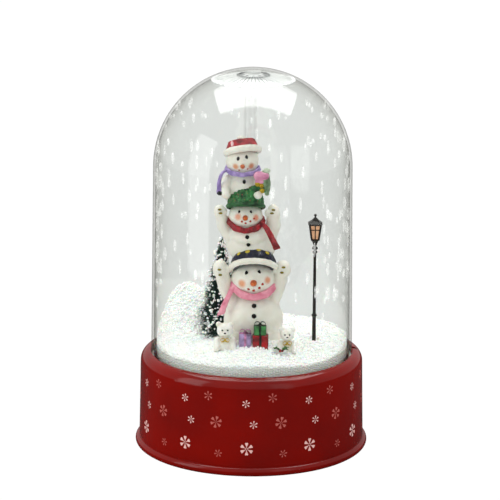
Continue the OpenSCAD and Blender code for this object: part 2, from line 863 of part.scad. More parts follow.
module scarf_middle() {
  color("crimson") difference() {
    union() {
      post(middle_x - 2.6, middle_y - 1, deck + 115.6, deck + 121.6, 17.2);
      limb_round([middle_x + 7, middle_y - 16, deck + 117], [middle_x + 15, middle_y - 20, deck + 102], 3.2, 3.6);
    }
    middle_core();
    middle_arms();
  }
}

// Top snowman
top_x = -9;
top_y = -12;
top_r = 17;
top_z = deck + 150.5 + fig;
top_head_z = deck + 174 + fig;
top_head_r = 13;
hat_top_r = 14.6;

module top_core_outline() {
  translate([0, deck + 142]) square([top_r, top_z - deck - 142]);
  translate([0, top_z]) circle(top_r);
  translate([0, top_head_z]) circle(top_head_r);
}

module snowman_top() {
  color("ivory") difference() {
    union() {
      translate([top_x, top_y, 0]) spin() top_core_outline();
      for (s = [-1, 1])
        limb_round([top_x + 13 * s, top_y - 5, top_z + 4], [top_x + 13 * s, top_y - 13, top_z - 3], 4.4, 4);
    }
    translate([middle_head[0], middle_head[1], 0]) spin() {
      hat_middle_outline(0.1);
      translate([0, middle_head[2]]) circle(middle_head_r);
    }
    middle_core();
  }
}

module hat_top() {
  color("red") translate([top_x, top_y, 0]) {
    spin() difference() {
      union() {
        intersection() {
          translate([0, top_head_z + 5]) circle(hat_top_r);
          translate([0, top_head_z + 8]) square([40, 40]);
        }
        translate([0, top_head_z + 6]) square([hat_top_r + 0.6, 4.4]);
      }
      translate([0, top_head_z]) circle(top_head_r);
    }
    ball([0, 0, top_head_z + 19.6], 2);
  }
}

module scarf_top() {
  color("plum") difference() {
    union() {
      translate([top_x, top_y, 0]) spin() translate([0, deck + 161.5 + fig]) square([14.6, 5]);
      limb_round([top_x - 6, top_y - 14, deck + 162 + fig], [top_x - 7, top_y - 18, deck + 149 + fig], 2.8, 3.2);
    }
    translate([top_x, top_y, 0]) spin() top_core_outline();
  }
}

module stocking() {
  color("hotpink") {
    limb_round([top_x + 22.5, top_y - 17, top_z + 12], [top_x + 21.5, top_y - 17, top_z - 1], 3.8, 3.7);
    limb([top_x + 21.5, top_y - 17, top_z - 1], [top_x + 28, top_y - 17, top_z - 4], 3.6, 3);
    ball([top_x + 28, top_y - 17, top_z - 4], 3.2);
  }
}

// Gifts, bears and holly on the ground in front of the tower
gift_y = -46;
bears = [[-22.6, -44], [30, -43]];

module gift_boxes() {
  color("orchid") {
    block(-10.8, -0.4, gift_y - 4, gift_y + 5, deck + ground_h, deck + 35.6);
    block(0.8, 13.8, gift_y - 5, gift_y + 5, deck + ground_h, deck + 34);
    block(2, 12, gift_y - 4, gift_y + 4, deck + 34, deck + 42);
  }
}

module bear_figures() {
  color("ivory") for (b = bears) translate([b[0], b[1], deck]) {
    post(0, 0, ground_h, 24, 8);
    ball([0, 0, 25], 8.2);
    ball([0, -2, 36], 6.6);
    for (s = [-1, 1]) ball([5 * s, -1, 41.5], 2);
  }
}

module holly_sprig() {
  color("green") {
    post(24.6, -55, deck + ground_h, snow_top + 2, 1);
    for (s = [-1, 1]) translate([24.6 + 3.4 * s, -55, snow_top + 3.4]) rotate([0, -24 * s, 0])
      translate([0, 0, -0.6]) cylinder(r = 3.4, h = 1.2);
  }
}

// Bottle-brush tree
tree_x = -26.5;
tree_y = 13;
tree_tiers = 5;
tree_foot = deck + 14;

module tree_cones(grow) {
  tier_h = (tree_h - 14) / (tree_tiers - 0.9);
  for (k = [0:tree_tiers - 1]) {
    z = tree_foot + k * (tree_h - 14 - tier_h) / (tree_tiers - 1);
    r = tree_r * (1 - k / (tree_tiers + 0.3));
    translate([tree_x, tree_y, z - grow]) cylinder(r1 = r + grow, r2 = 0.8 + grow, h = tier_h + 2 * grow);
  }
}

module tree_foliage() {
  color("darkgreen") difference() {
    tree_cones(0);
    bottom_stack();
    middle_core();
    post(tree_x, tree_y, deck, deck + tree_h - 20, 1.3);
    post(tube_x, tube_y, deck, rim_z + 200, tube_r + 0.3);
  }
}

module tree_trunk() {
  color("sienna") {
    post(tree_x, tree_y, deck, deck + 14, 3.6);
    post(tree_x, tree_y, deck + 13.9, deck + tree_h - 20.5, 1.2);
  }
}

// Lamp post with its lantern
lamp_x = 53.4;
lamp_y = -12;
lamp_foot_r = 4.5;
lantern_z = deck + lamp_h - 24;
pane_w = 8.4;

module lamp_post() {
  color("black") {
    post(lamp_x, lamp_y, deck, deck + 13, lamp_foot_r);
    translate([lamp_x, lamp_y, deck + 13]) cylinder(r1 = lamp_foot_r, r2 = 1.8, h = 7);
    post(lamp_x, lamp_y, deck + 19, lantern_z, 1.3);
    post(lamp_x, lamp_y, deck + 60, deck + 62.4, 2);
    translate([lamp_x, lamp_y, lantern_z - 4]) cylinder(r1 = 1.3, r2 = 3, h = 4);
  }
}

module lantern_frame() {
  color("black") translate([lamp_x, lamp_y, lantern_z]) {
    block(-pane_w / 2 - 0.6, pane_w / 2 + 0.6, -pane_w / 2 - 0.6, pane_w / 2 + 0.6, 0, 1.4);
    for (sx = [-1, 1], sy = [-1, 1]) translate([sx * (pane_w / 2), sy * (pane_w / 2), 0])
      block(-0.6, 0.6, -0.6, 0.6, 1.3, 14.4);
    translate([0, 0, 14.3]) rotate([0, 0, 45]) cylinder(r1 = 8.7, r2 = 1.2, h = 6, $fn = 4);
    post(0, 0, 20, 22.6, 0.9);
    ball([0, 0, 22.6], 1.4);
  }
}

module lantern_panes() {
  color("moccasin", 0.6) translate([lamp_x, lamp_y, lantern_z]) difference() {
    block(-pane_w / 2 + 0.1, pane_w / 2 - 0.1, -pane_w / 2 + 0.1, pane_w / 2 - 0.1, 1.4, 14.3);
    block(-pane_w / 2 + 0.8, pane_w / 2 - 0.8, -pane_w / 2 + 0.8, pane_w / 2 - 0.8, 1, 20);
    for (sx = [-1, 1], sy = [-1, 1]) translate([sx * (pane_w / 2), sy * (pane_w / 2), 0])
      block(-0.6, 0.6, -0.6, 0.6, 1.3, 14.4);
  }
}

module lamp_led() {
  color("orange") translate([lamp_x, lamp_y, lantern_z]) {
    post(0, 0, 1.4, 7, 1.5);
    ball([0, 0, 7], 1.5);
  }
}

base_shell();
bottom_cover();
rubber_feet();
cover_screws();
tray_screws();
snow_tray();
dome_seal();
dome();
deflector();
riser_tube();
blower_upper_housing();
blower_lower_housing();
blower_screws();
impeller();
motor_shaft();
motor();
motor_end_cap();
motor_screws();
battery_box();
batteries();
battery_contacts();
battery_springs();
battery_door();
speaker_basket();
speaker_cone();
circuit_board();
board_components();
switch_body();
switch_knob();
dc_inlet();
dc_contact();
wiring();
resin_ground();
snow_bed();
snowman_bottom();
hat_bottom();
scarf_bottom();
snowman_middle();
hat_middle();
scarf_middle();
snowman_top();
hat_top();
scarf_top();
stocking();
gift_boxes();
bear_figures();
holly_sprig();
tree_foliage();
tree_trunk();
lamp_post();
lantern_frame();
lantern_panes();
lamp_led();
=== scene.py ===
import math

import bmesh
import bpy
import numpy as np
from bpy.props import FloatProperty, FloatVectorProperty, IntProperty, PointerProperty
from bpy.types import Operator, Panel, PropertyGroup
from mathutils import Matrix, Vector, noise


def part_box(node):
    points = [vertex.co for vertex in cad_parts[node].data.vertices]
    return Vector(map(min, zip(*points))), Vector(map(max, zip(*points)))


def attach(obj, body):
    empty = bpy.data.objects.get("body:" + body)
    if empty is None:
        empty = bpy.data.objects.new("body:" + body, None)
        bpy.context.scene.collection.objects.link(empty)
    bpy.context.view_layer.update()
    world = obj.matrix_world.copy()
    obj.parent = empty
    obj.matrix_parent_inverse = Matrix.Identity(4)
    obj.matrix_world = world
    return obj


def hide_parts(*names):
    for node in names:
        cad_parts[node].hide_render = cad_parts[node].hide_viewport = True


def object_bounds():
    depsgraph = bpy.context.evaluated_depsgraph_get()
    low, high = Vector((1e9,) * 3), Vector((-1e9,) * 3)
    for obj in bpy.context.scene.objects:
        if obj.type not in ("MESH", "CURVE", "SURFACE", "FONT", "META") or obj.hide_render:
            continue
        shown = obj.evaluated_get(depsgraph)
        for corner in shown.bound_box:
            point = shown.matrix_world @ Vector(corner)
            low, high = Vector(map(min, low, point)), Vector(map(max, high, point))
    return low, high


bl_info = {
    "name": "Snowing Snow Globe",
    "version": (1, 0, 0),
    "blender": (4, 5, 0),
    "location": "View3D > Sidebar > Snow Globe",
    "description": "Finishes and figures of a table-top snow globe, built around its CAD frame",
    "category": "Object",
}

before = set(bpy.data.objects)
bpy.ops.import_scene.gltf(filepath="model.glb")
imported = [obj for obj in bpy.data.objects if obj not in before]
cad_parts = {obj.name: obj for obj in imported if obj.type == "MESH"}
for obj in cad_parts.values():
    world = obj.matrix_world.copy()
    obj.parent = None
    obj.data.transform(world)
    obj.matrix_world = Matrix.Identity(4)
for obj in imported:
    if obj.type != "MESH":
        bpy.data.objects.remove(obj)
CAD_BOX = [list(corner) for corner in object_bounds()]

MM = 0.001  # one millimetre in Blender's metres
TAU = math.tau
GOLDEN_TURN = 2.39996  # radians between two bristles, so that none lie above each other
ROW_STEP = 0.866  # of the pitch, between rows of beads that lie in each other's gaps
FRONT = -90  # degrees round the axis, from +X towards +Y


def corners(node):
    """Lowest and highest corner of a CAD node, in millimetres."""
    low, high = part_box(node)
    return low / MM, high / MM


def centre_of(node):
    low, high = corners(node)
    return (low + high) / 2


# Places that the CAD frame sets, in millimetres
DECK = corners("resin_ground")[0].z
SHELL_LOW, SHELL_HIGH = corners("base_shell")
RIM_TOP = SHELL_HIGH.z
DOME_LOW, DOME_HIGH = corners("dome")
DOME_R = -DOME_LOW.x
SNOW_R = corners("snow_bed")[1].x
TUBE = centre_of("riser_tube")
LAMP = centre_of("lamp_post")
LANTERN_LOW, LANTERN_HIGH = corners("lantern_frame")
TREE = centre_of("tree_trunk")
TREE_TIP = corners("tree_foliage")[1].z
GIFT_LOW, GIFT_HIGH = corners("gift_boxes")
BOTTOM_AXIS = centre_of("hat_bottom")
TOP_AXIS = centre_of("hat_top")
TOP_HAT = corners("hat_top")[1]


# Mesh work, all in millimetres


def arc(x, z, radius, start, end, count=8):
    """Points of an arc, its angles in degrees from the outline's +radius towards +height."""
    turns = [math.radians(start + (end - start) * k / count) for k in range(count + 1)]
    return [(x + radius * math.cos(t), z + radius * math.sin(t)) for t in turns]


def paint_faces(verts, paint):
    for vert in verts:
        for face in vert.link_faces:
            face.material_index = paint


def lathe(mesh, outline, centre=(0, 0), steps=64, paint=0, shape=None):
    """Turns a closed outline of (radius, height) about a vertical axis. shape(r, z, turn) moves a point."""
    rings = []
    for k in range(steps):
        turn = TAU * k / steps
        points = [shape(r, z, turn) for r, z in outline] if shape else outline
        rings.append([
            mesh.verts.new((centre[0] + r * math.cos(turn), centre[1] + r * math.sin(turn), z))
            for r, z in points
        ])
    count = len(outline)
    for k in range(steps):
        here, there = rings[k], rings[(k + 1) % steps]
        for i in range(count):
            j = (i + 1) % count
            mesh.faces.new((here[i], there[i], there[j], here[j])).material_index = paint
    bmesh.ops.remove_doubles(mesh, verts=[v for ring in rings for v in ring], dist=1e-4)


def ball(mesh, centre, radii, fineness=3, paint=0, turn=None):
    if not hasattr(radii, "__len__"):
        radii = (radii, radii, radii)
    matrix = Matrix.Translation(centre) @ (turn or Matrix()) @ Matrix.Diagonal((*radii, 1))
    made = bmesh.ops.create_icosphere(mesh, subdivisions=fineness, radius=1, matrix=matrix)
    paint_faces(made["verts"], paint)


def rod(mesh, start, end, radius_1, radius_2, paint=0, sides=20):
    """Straight cone with flat ends between two points."""
    start, end = Vector(start), Vector(end)
    turn = (end - start).to_track_quat("Z", "Y").to_matrix().to_4x4()
    made = bmesh.ops.create_cone(
        mesh, cap_ends=True, segments=sides, radius1=radius_1, radius2=radius_2,
        depth=(end - start).length, matrix=Matrix.Translation((start + end) / 2) @ turn,
    )
    paint_faces(made["verts"], paint)


def limb(mesh, points, radii, paint=0):
    """Chain of round-ended cones, as an arm is."""
    for start, end, r_1, r_2 in zip(points, points[1:], radii, radii[1:]):
        rod(mesh, start, end, r_1, r_2, paint, 32)
    for point, radius in zip(points, radii):
        ball(mesh, point, radius, 3, paint)


def band(mesh, points, across, width, thick, closed=False, paint=0, sides=18, furrows=0):
    """Soft strip along points. across gives its wide direction at each, width and thick its size there."""
    rings = []
    count = len(points)
    for k, point in enumerate(points):
        before = points[(k - 1) % count if closed else max(k - 1, 0)]
        after = points[(k + 1) % count if closed else min(k + 1, count - 1)]
        wide = Vector(across[k]).normalized()
        out = (Vector(after) - Vector(before)).cross(wide).normalized()
        ring = []
        for i in range(sides):
            turn = TAU * i / sides
            swell = 1 + 0.12 * math.cos(furrows * turn) if furrows else 1
            side = math.copysign(abs(math.cos(turn)) ** 0.7, math.cos(turn)) * width[k] / 2
            up = math.copysign(abs(math.sin(turn)) ** 0.7, math.sin(turn)) * thick[k] / 2 * swell
            ring.append(mesh.verts.new(Vector(point) + wide * side + out * up))
        rings.append(ring)
    for k in range(count if closed else count - 1):
        here, there = rings[k], rings[(k + 1) % count]
        for i in range(sides):
            j = (i + 1) % sides
            mesh.faces.new((here[i], here[j], there[j], there[i])).material_index = paint
    if not closed:
        mesh.faces.new(rings[0]).material_index = paint
        mesh.faces.new(rings[-1]).material_index = paint


def rounded_box(mesh, low, high, radius, paint=0):
    """Box with rounded edges."""
    low, high = Vector(low), Vector(high)
    matrix = Matrix.Translation((low + high) / 2) @ Matrix.Diagonal((*(high - low), 1))
    made = bmesh.ops.create_cube(mesh, size=1, matrix=matrix)
    paint_faces(made["verts"], paint)
    edges = {edge for vert in made["verts"] for edge in vert.link_edges}
    bmesh.ops.bevel(mesh, geom=list(edges), offset=radius, segments=3, affect="EDGES", profile=0.5,
                    material=paint)


def fuse(mesh, voxel, rounds=4):
    """Joins overlapping forms into one closed skin and softens the joins, as clay is modelled."""
    bmesh.ops.recalc_face_normals(mesh, faces=mesh.faces[:])
    data = bpy.data.meshes.new("clay")
    mesh.to_mesh(data)
    mesh.free()
    clay = bpy.data.objects.new("clay", data)
    bpy.context.scene.collection.objects.link(clay)
    skin = clay.modifiers.new("skin", "REMESH")
    skin.mode = "VOXEL"
    skin.voxel_size = voxel
    soften = clay.modifiers.new("soften", "SMOOTH")
    soften.iterations = rounds
    soften.factor = 0.5
    view = bpy.context.evaluated_depsgraph_get()
    done = bpy.data.meshes.new_from_object(clay.evaluated_get(view))
    joined = bmesh.new()
    joined.from_mesh(done)
    bpy.data.objects.remove(clay)
    bpy.data.meshes.remove(data)
    bpy.data.meshes.remove(done)
    return joined


def ripple(mesh, pitch, depth, seed=0):
    """Pushes a skin in and out by a soft noise, as hand work leaves it."""
    for vert in mesh.verts:
        spot = vert.co / pitch + Vector((seed, seed, seed))
        vert.co += vert.normal * noise.noise(spot) * depth


def piece(name, mesh, paints, stands_for=(), body="base", crease=50):
    """Makes a finished piece of a mesh in millimetres, riding on its CAD body."""
    bmesh.ops.recalc_face_normals(mesh, faces=mesh.faces[:])
    data = bpy.data.meshes.new(name)
    mesh.to_mesh(data)
    mesh.free()
    return place_piece(name, data, paints, stands_for, body, crease)


def place_piece(name, data, paints, stands_for, body, crease):
    data.transform(Matrix.Scale(MM, 4))
    data.shade_smooth()
    data.set_sharp_from_angle(angle=math.radians(crease))
    for paint in paints:
        data.materials.append(paint)
    obj = bpy.data.objects.new(name, data)
    bpy.context.scene.collection.objects.link(obj)
    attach(obj, body)
    if stands_for:
        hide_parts(*stands_for)
    return obj


def swarm(name, centres, sizes, paint, body="base", fineness=2):
    """Many small beads in one piece. sizes holds a radius, or three, for each centre."""
    seed = bmesh.new()
    bmesh.ops.create_icosphere(seed, subdivisions=fineness, radius=1)
    shell = np.array([v.co for v in seed.verts])
    faces = np.array([[v.index for v in f.verts] for f in seed.faces])
    seed.free()
    sizes = np.asarray(sizes, float).reshape(len(centres), -1)
    points = (shell[None] * sizes[:, None] + np.asarray(centres)[:, None]).reshape(-1, 3)
    offsets = np.arange(len(centres))[:, None, None] * len(shell)
    corners_of = (faces[None] + offsets).reshape(-1, 3)
    data = bpy.data.meshes.new(name)
    data.from_pydata(points.tolist(), [], corners_of.tolist())
    return place_piece(name, data, [paint], (), body, 180)


def dress(nodes, paint):
    """Gives CAD nodes a finish."""
    for name in nodes:
        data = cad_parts[name].data
        data.materials.clear()
        data.materials.append(paint)


# Finishes


def linear(hex_colour):
    """Linear RGBA of an sRGB hex colour."""
    channels = [int(hex_colour[k:k + 2], 16) / 255 for k in (1, 3, 5)]
    curve = [c / 12.92 if c <= 0.04045 else ((c + 0.055) / 1.055) ** 2.4 for c in channels]
    return (*curve, 1.0)


def node(tree, kind, inputs=None, **settings):
    """Adds a shader node with its settings, and fills or links its inputs."""
    made = tree.nodes.new("ShaderNode" + kind)
    for name, value in settings.items():
        setattr(made, name, value)
    for name, value in (inputs or {}).items():
        if isinstance(value, bpy.types.NodeSocket):
            tree.links.new(value, made.inputs[name])
        else:
            made.inputs[name].default_value = value
    return made


def start_material(name):
    material = bpy.data.materials.new(name)
    material.use_nodes = True
    tree = material.node_tree
    return material, tree, tree.nodes["Principled BSDF"], node(tree, "TexCoord").outputs["Object"]


def finish(name, colour, drift, spot, grain, relief, roughness, spread=0.06, extra=None, **sockets):
    """Solid surface: its colour drifts over spots, its roughness with it, and a grain stands in relief.
    spot, grain and relief are in millimetres. extra(tree, colour, place) may paint on the colour."""
    found = bpy.data.materials.get(name)
    if found:
        return found
    material, tree, shader, place = start_material(name)
    spots = node(tree, "TexNoise", {"Vector": place, "Scale": 1 / (spot * MM), "Detail": 5.0})
    share = node(tree, "MapRange", {"Value": spots.outputs["Fac"], "From Min": 0.35, "From Max": 0.65})
    mixed = node(tree, "MixRGB", {
        "Fac": share.outputs["Result"], "Color1": linear(colour), "Color2": linear(drift),
    }).outputs["Color"]
    if extra:
        mixed = extra(tree, mixed, place)
    tree.links.new(mixed, shader.inputs["Base Color"])
    rough = node(tree, "MapRange", {
        "Value": spots.outputs["Fac"], "From Min": 0.3, "From Max": 0.7,
        "To Min": max(roughness - spread, 0.02), "To Max": roughness + spread,
    })
    tree.links.new(rough.outputs["Result"], shader.inputs["Roughness"])
    fine = node(tree, "TexNoise", {"Vector": place, "Scale": 1 / (grain * MM), "Detail": 3.0})
    bump = node(tree, "Bump", {"Height": fine.outputs["Fac"], "Distance": relief * MM, "Strength": 1.0})
    tree.links.new(bump.outputs["Normal"], shader.inputs["Normal"])
    for socket, value in sockets.items():
        shader.inputs[socket.replace("_", " ")].default_value = value
    return material


def clear_plastic(name, tint, edge_tint, ior, roughness, scuff, mirror_edge=0.5):
    """Thin clear sheet: what is behind shows through it, darker towards its edges, where more plastic
    lies in the way. It mirrors by its index square on and by mirror_edge at a glance. Light passes
    it without bending."""
    found = bpy.data.materials.get(name)
    if found:
        return found
    material, tree, shader, place = start_material(name)
    tree.nodes.remove(shader)
    facing = node(tree, "LayerWeight", {"Blend": 0.5}).outputs["Facing"]
    edge = node(tree, "Math", {0: facing, 1: 3.0}, operation="POWER").outputs[0]
    shade = node(tree, "MixRGB", {"Fac": edge, "Color1": linear(tint), "Color2": linear(edge_tint)})
    through = node(tree, "BsdfTransparent", {"Color": shade.outputs["Color"]}).outputs[0]
    haze = node(tree, "TexNoise", {"Vector": place, "Scale": 1 / (scuff * MM), "Detail": 4.0})
    rough = node(tree, "MapRange", {
        "Value": haze.outputs["Fac"], "From Min": 0.4, "From Max": 0.7,
        "To Min": roughness, "To Max": roughness * 1.8,
    })
    mirror = node(tree, "BsdfGlossy", {"Roughness": rough.outputs["Result"]}).outputs[0]
    rise = node(tree, "Math", {0: facing, 1: 5.0}, operation="POWER").outputs[0]
    share = node(tree, "MapRange", {
        "Value": rise, "To Min": ((ior - 1) / (ior + 1)) ** 2, "To Max": mirror_edge,
    })
    both = node(tree, "MixShader", {0: share.outputs["Result"], 1: through, 2: mirror}).outputs[0]
    tree.links.new(both, tree.nodes["Material Output"].inputs["Surface"])
    return material


def colours():
    return bpy.context.scene.globe_colours


def sizes():
    return bpy.context.scene.globe_sizes


def as_hex(colour):
    """sRGB hex of a linear colour from the panel."""
    curve = [c * 12.92 if c <= 0.0031308 else 1.055 * c ** (1 / 2.4) - 0.055 for c in colour]
    return "#" + "".join(f"{round(max(0, min(1, c)) * 255):02X}" for c in curve)


# ABS, injection moulded and lacquered: deep glossy red with a very faint orange peel
def red_lacquer():
    return finish("lacquered_abs_red", as_hex(colours().shell), "#640602", 60, 2.2, 0.004, 0.13, 0.03,
                  Specular_IOR_Level=0.3)


# Screen-printed ink on the lacquer: flat, slightly chalky, with pinholes
def print_ink(name, colour, drift):
    return finish(name, colour, drift, 0.8, 0.12, 0.01, 0.45, 0.1)


# EPDM rubber, moulded in an etched tool: matt black with dust in its grain
def foot_rubber():
    return finish("moulded_rubber", "#141414", "#232220", 3, 0.25, 0.03, 0.75)


# Zinc-plated steel: bright grey with a slight yellow bloom
def zinc_steel():
    return finish("zinc_plated_steel", "#B9BCC0", "#A6A28F", 1.5, 0.15, 0.004, 0.32, 0.08, Metallic=1.0)


# Natural polypropylene, thin moulded: milky, the snow behind its lip shows through
def milky_polypropylene():
    return clear_plastic("moulded_polypropylene", "#FDFDFC", "#EEEEEB", 1.49, 0.25, 1.5)


# Silicone, moulded: milky and soft, light goes into it
def silicone():
    return finish("moulded_silicone", "#DADAD2", "#CDCBC0", 8, 0.6, 0.01, 0.5, Subsurface_Weight=0.4,
                  Subsurface_Scale=0.003)


# ABS, moulded, not lacquered: grey, with a fine even grain
def housing_grey():
    return finish("moulded_abs_grey", "#9A9C9C", "#8B8D8E", 15, 0.4, 0.02, 0.45)


# Nylon, moulded: slightly translucent off-white
def nylon():
    return finish("moulded_nylon", "#E4E1D6", "#D8D3C4", 6, 0.5, 0.01, 0.38, Subsurface_Weight=0.2,
                  Subsurface_Scale=0.002)


# Ground and polished steel: almost a mirror, with fine turning marks
def polished_steel():
    return finish("polished_steel", "#D4D6D8", "#BFC2C5", 4, 0.08, 0.001, 0.14, 0.05, Metallic=1.0)


# Drawn steel can, tin plated: soft grey metal with long drag marks
def motor_can():
    return finish("tinned_steel_can", "#AEB1B3", "#8F9395", 9, 0.5, 0.003, 0.3, 0.1, Metallic=1.0)


# ABS, moulded, black: satin, with pale dust
def black_plastic():
    return finish("moulded_abs_black", "#17181A", "#26272A", 10, 0.3, 0.015, 0.4)


# PVC sleeve shrunk on a cell: glossy, with a pale band at one end
def cell_sleeve():
    low, high = corners("batteries")
    end = low.x + (high.x - low.x) * 0.22

    def banded(tree, colour, place):
        along = node(tree, "SeparateXYZ", {0: place}).outputs["X"]
        inside = node(tree, "Math", {0: along, 1: end * MM}, operation="LESS_THAN").outputs[0]
        return node(tree, "MixRGB", {
            "Fac": inside, "Color1": colour, "Color2": linear("#C98B2E"),
        }).outputs["Color"]

    return finish("shrunk_pvc_sleeve", "#1F2A33", "#2B3640", 6, 0.8, 0.006, 0.2, extra=banded)


# Nickel strip, rolled: warm silver with stamped marks
def nickel():
    return finish("rolled_nickel", "#C9C3B4", "#AFA792", 2, 0.2, 0.004, 0.28, Metallic=1.0)


# Pressed steel, spray painted grey: satin, its speckle a little uneven
def painted_steel():
    return finish("painted_steel_grey", "#55585B", "#484A4D", 5, 0.3, 0.01, 0.42)


# Pressed paper cone: matt, with visible fibre
def cone_paper():
    return finish("pressed_paper", "#2B2926", "#3D3A34", 0.7, 0.12, 0.05, 0.85, 0.08)


# Glass-epoxy board under green solder mask: copper tracks show through as paler lines
def solder_mask():
    def tracks(tree, colour, place):
        cells = node(tree, "TexVoronoi", {"Vector": place, "Scale": 1 / (2.4 * MM)},
                     feature="DISTANCE_TO_EDGE", distance="MANHATTAN").outputs["Distance"]
        line = node(tree, "Math", {0: cells, 1: 0.1}, operation="LESS_THAN").outputs[0]
        return node(tree, "MixRGB", {
            "Fac": line, "Color1": colour, "Color2": linear("#3F8A4A"),
        }).outputs["Color"]

    return finish("solder_mask_green", "#14532B", "#0F4423", 4, 0.5, 0.01, 0.3, extra=tracks)


# Epoxy-cased components: dull black with pale dust
def component_epoxy():
    return finish("moulded_epoxy", "#1C1C1F", "#31302E", 1.5, 0.2, 0.01, 0.5)


# PVC insulation, extruded: smooth satin red, a little duller in patches
def pvc_insulation():
    return finish("extruded_pvc_red", "#A31712", "#8C120E", 3, 0.4, 0.004, 0.35)


# Cast polyester resin, brush painted off-white, with painted shade: a warm grey darkening laid in the hollows
def figure_resin(name, blushes=(), base="#F1EEE4"):
    def resin_hollow_shade(tree, colour, place):
        # painted shade: the hollows darken towards a warm grey, where less light reaches
        hollow = node(tree, "NewGeometry").outputs["Pointiness"]
        share = node(tree, "MapRange", {
            "Value": hollow, "From Min": 0.49, "From Max": 0.42, "To Max": 0.55,
        }).outputs["Result"]
        colour = node(tree, "MixRGB", {
            "Fac": share, "Color1": colour, "Color2": linear("#A89C86"),
        }).outputs["Color"]
        for spot, radius, tone, strength in blushes:
            far = node(tree, "VectorMath", {0: place, 1: Vector(spot) * MM}, operation="DISTANCE")
            near = node(tree, "MapRange", {
                "Value": far.outputs["Value"], "From Min": radius * 0.25 * MM,
                "From Max": radius * MM, "To Min": strength, "To Max": 0.0,
            }, interpolation_type="SMOOTHSTEP").outputs["Result"]
            colour = node(tree, "MixRGB", {
                "Fac": near, "Color1": colour, "Color2": linear(tone),
            }).outputs["Color"]
        return colour

    return finish(name, base, "#E9E5D9", 7, 0.7, 0.05, 0.36, 0.08, extra=resin_hollow_shade,
                  Subsurface_Weight=0.12, Subsurface_Scale=0.002)


# Acrylic paint brushed on resin: satin, with painted shade darkening the hollows. specks adds small dots
def brushed_paint(name, colour, shade, grain=0.9, relief=0.06, roughness=0.38, specks=None):
    def paint_hollow_shade(tree, mixed, place):
        # painted shade: the hollows darken towards the shade colour
        hollow = node(tree, "NewGeometry").outputs["Pointiness"]
        share = node(tree, "MapRange", {
            "Value": hollow, "From Min": 0.5, "From Max": 0.42, "To Max": 0.7,
        }).outputs["Result"]
        mixed = node(tree, "MixRGB", {
            "Fac": share, "Color1": mixed, "Color2": linear(shade),
        }).outputs["Color"]
        if specks:
            dots = node(tree, "TexVoronoi", {"Vector": place, "Scale": 1 / (2.2 * MM)})
            dot = node(tree, "Math", {0: dots.outputs["Distance"], 1: 0.2}, operation="LESS_THAN")
            mixed = node(tree, "MixRGB", {
                "Fac": dot.outputs[0], "Color1": mixed, "Color2": linear(specks),
            }).outputs["Color"]
        return mixed

    return finish(name, colour, shade, 5, grain, relief, roughness, 0.08, extra=paint_hollow_shade)


# Gloss enamel, laid on in small dabs that level out: smooth and shiny eyes, buttons and berries
def enamel(name, colour, shade):
    return finish(name, colour, shade, 2.5, 0.5, 0.01, 0.2, 0.05)


# Gold paint, metal flake in varnish: half metallic, its flakes a little uneven
def gold_paint():
    return finish("gold_paint", "#E9CB3C", "#B8922A", 1.2, 0.4, 0.02, 0.28, Metallic=0.55)


# Expanded polystyrene, puffed into beads by steam: matt white, light scatters inside, with tiny cells; a faint
# painted glow (emission) lifts its brightness
def foam_bead():
    return finish("expanded_polystyrene", as_hex(colours().snow), "#F3F4F2", 3, 0.35, 0.03, 0.6, 0.1,
                  Subsurface_Weight=0.35, Subsurface_Scale=0.0015,
                  # painted light: a faint emission so the snow reads brighter than its lighting gives
                  Emission_Color=linear("#FFFFFF"), Emission_Strength=0.05)


# The same beads in flight: the eye sees soft, half-clear streaks, lifted above the white behind them by a
# painted glow (emission)
def flying_bead():
    material = bpy.data.materials.get("polystyrene_in_flight")
    if material:
        return material
    material, tree, shader, place = start_material("polystyrene_in_flight")
    shader.inputs["Base Color"].default_value = linear("#FFFFFF")
    shader.inputs["Roughness"].default_value = 0.7
    # painted light: emission makes the streaks brighter than what lies behind them
    shader.inputs["Emission Color"].default_value = linear("#FFFFFF")
    shader.inputs["Emission Strength"].default_value = 0.5
    fade = node(tree, "TexNoise", {"Vector": place, "Scale": 1 / (2.5 * MM), "Detail": 2.0})
    share = node(tree, "MapRange", {
        "Value": fade.outputs["Fac"], "From Min": 0.3, "From Max": 0.7, "To Min": 0.04, "To Max": 0.3,
    })
    tree.links.new(share.outputs["Result"], shader.inputs["Alpha"])
    return material


# PVC bristle, slit and twisted in wire: dark green, each hair glossy
def bristle():
    return finish("pvc_bristle_green", as_hex(colours().tree), "#071C17", 2.5, 0.3, 0.01, 0.45, 0.1)


# Galvanised steel, drawn and twisted, its zinc stained brown: dull, with little shine left
def twisted_wire():
    return finish("galvanised_wire", "#5A5248", "#3F372C", 1.2, 0.25, 0.01, 0.45, Metallic=0.6)


# Stained pine, turned: brown with long grain
def turned_pine():
    return finish("turned_pine", "#6E4526", "#4C2D17", 1.6, 0.3, 0.03, 0.55)


# Die-cast zinc under stoved black enamel: satin black, slightly wavy where the coat ran
def black_enamel():
    return finish("black_stoved_enamel", "#15120F", "#241D17", 2.5, 0.45, 0.015, 0.34, 0.08)


# Styrene pane, moulded and lit from inside: a warm even glow, a little mottled
def lit_pane():
    return finish("lit_styrene", "#C9A27C", "#A87A52", 3, 0.6, 0.02, 0.35,
                  Emission_Color=linear("#FFC09A"), Emission_Strength=0.35)


# Cast epoxy lens of a warm lamp: smooth, and the brightest thing in the lantern
def lamp_lens():
    return finish("epoxy_lens_warm", "#F6A04A", "#F2B566", 1, 0.3, 0.005, 0.2,
                  Emission_Color=linear("#FF9A3C"), Emission_Strength=3.0)


# Acrylic dome, blow moulded: clear, with a faint warm grey where the wall is seen on edge
def dome_acrylic():
    return clear_plastic("blown_acrylic", as_hex(colours().dome), "#F2F2EF", 1.49, 0.03, 9)


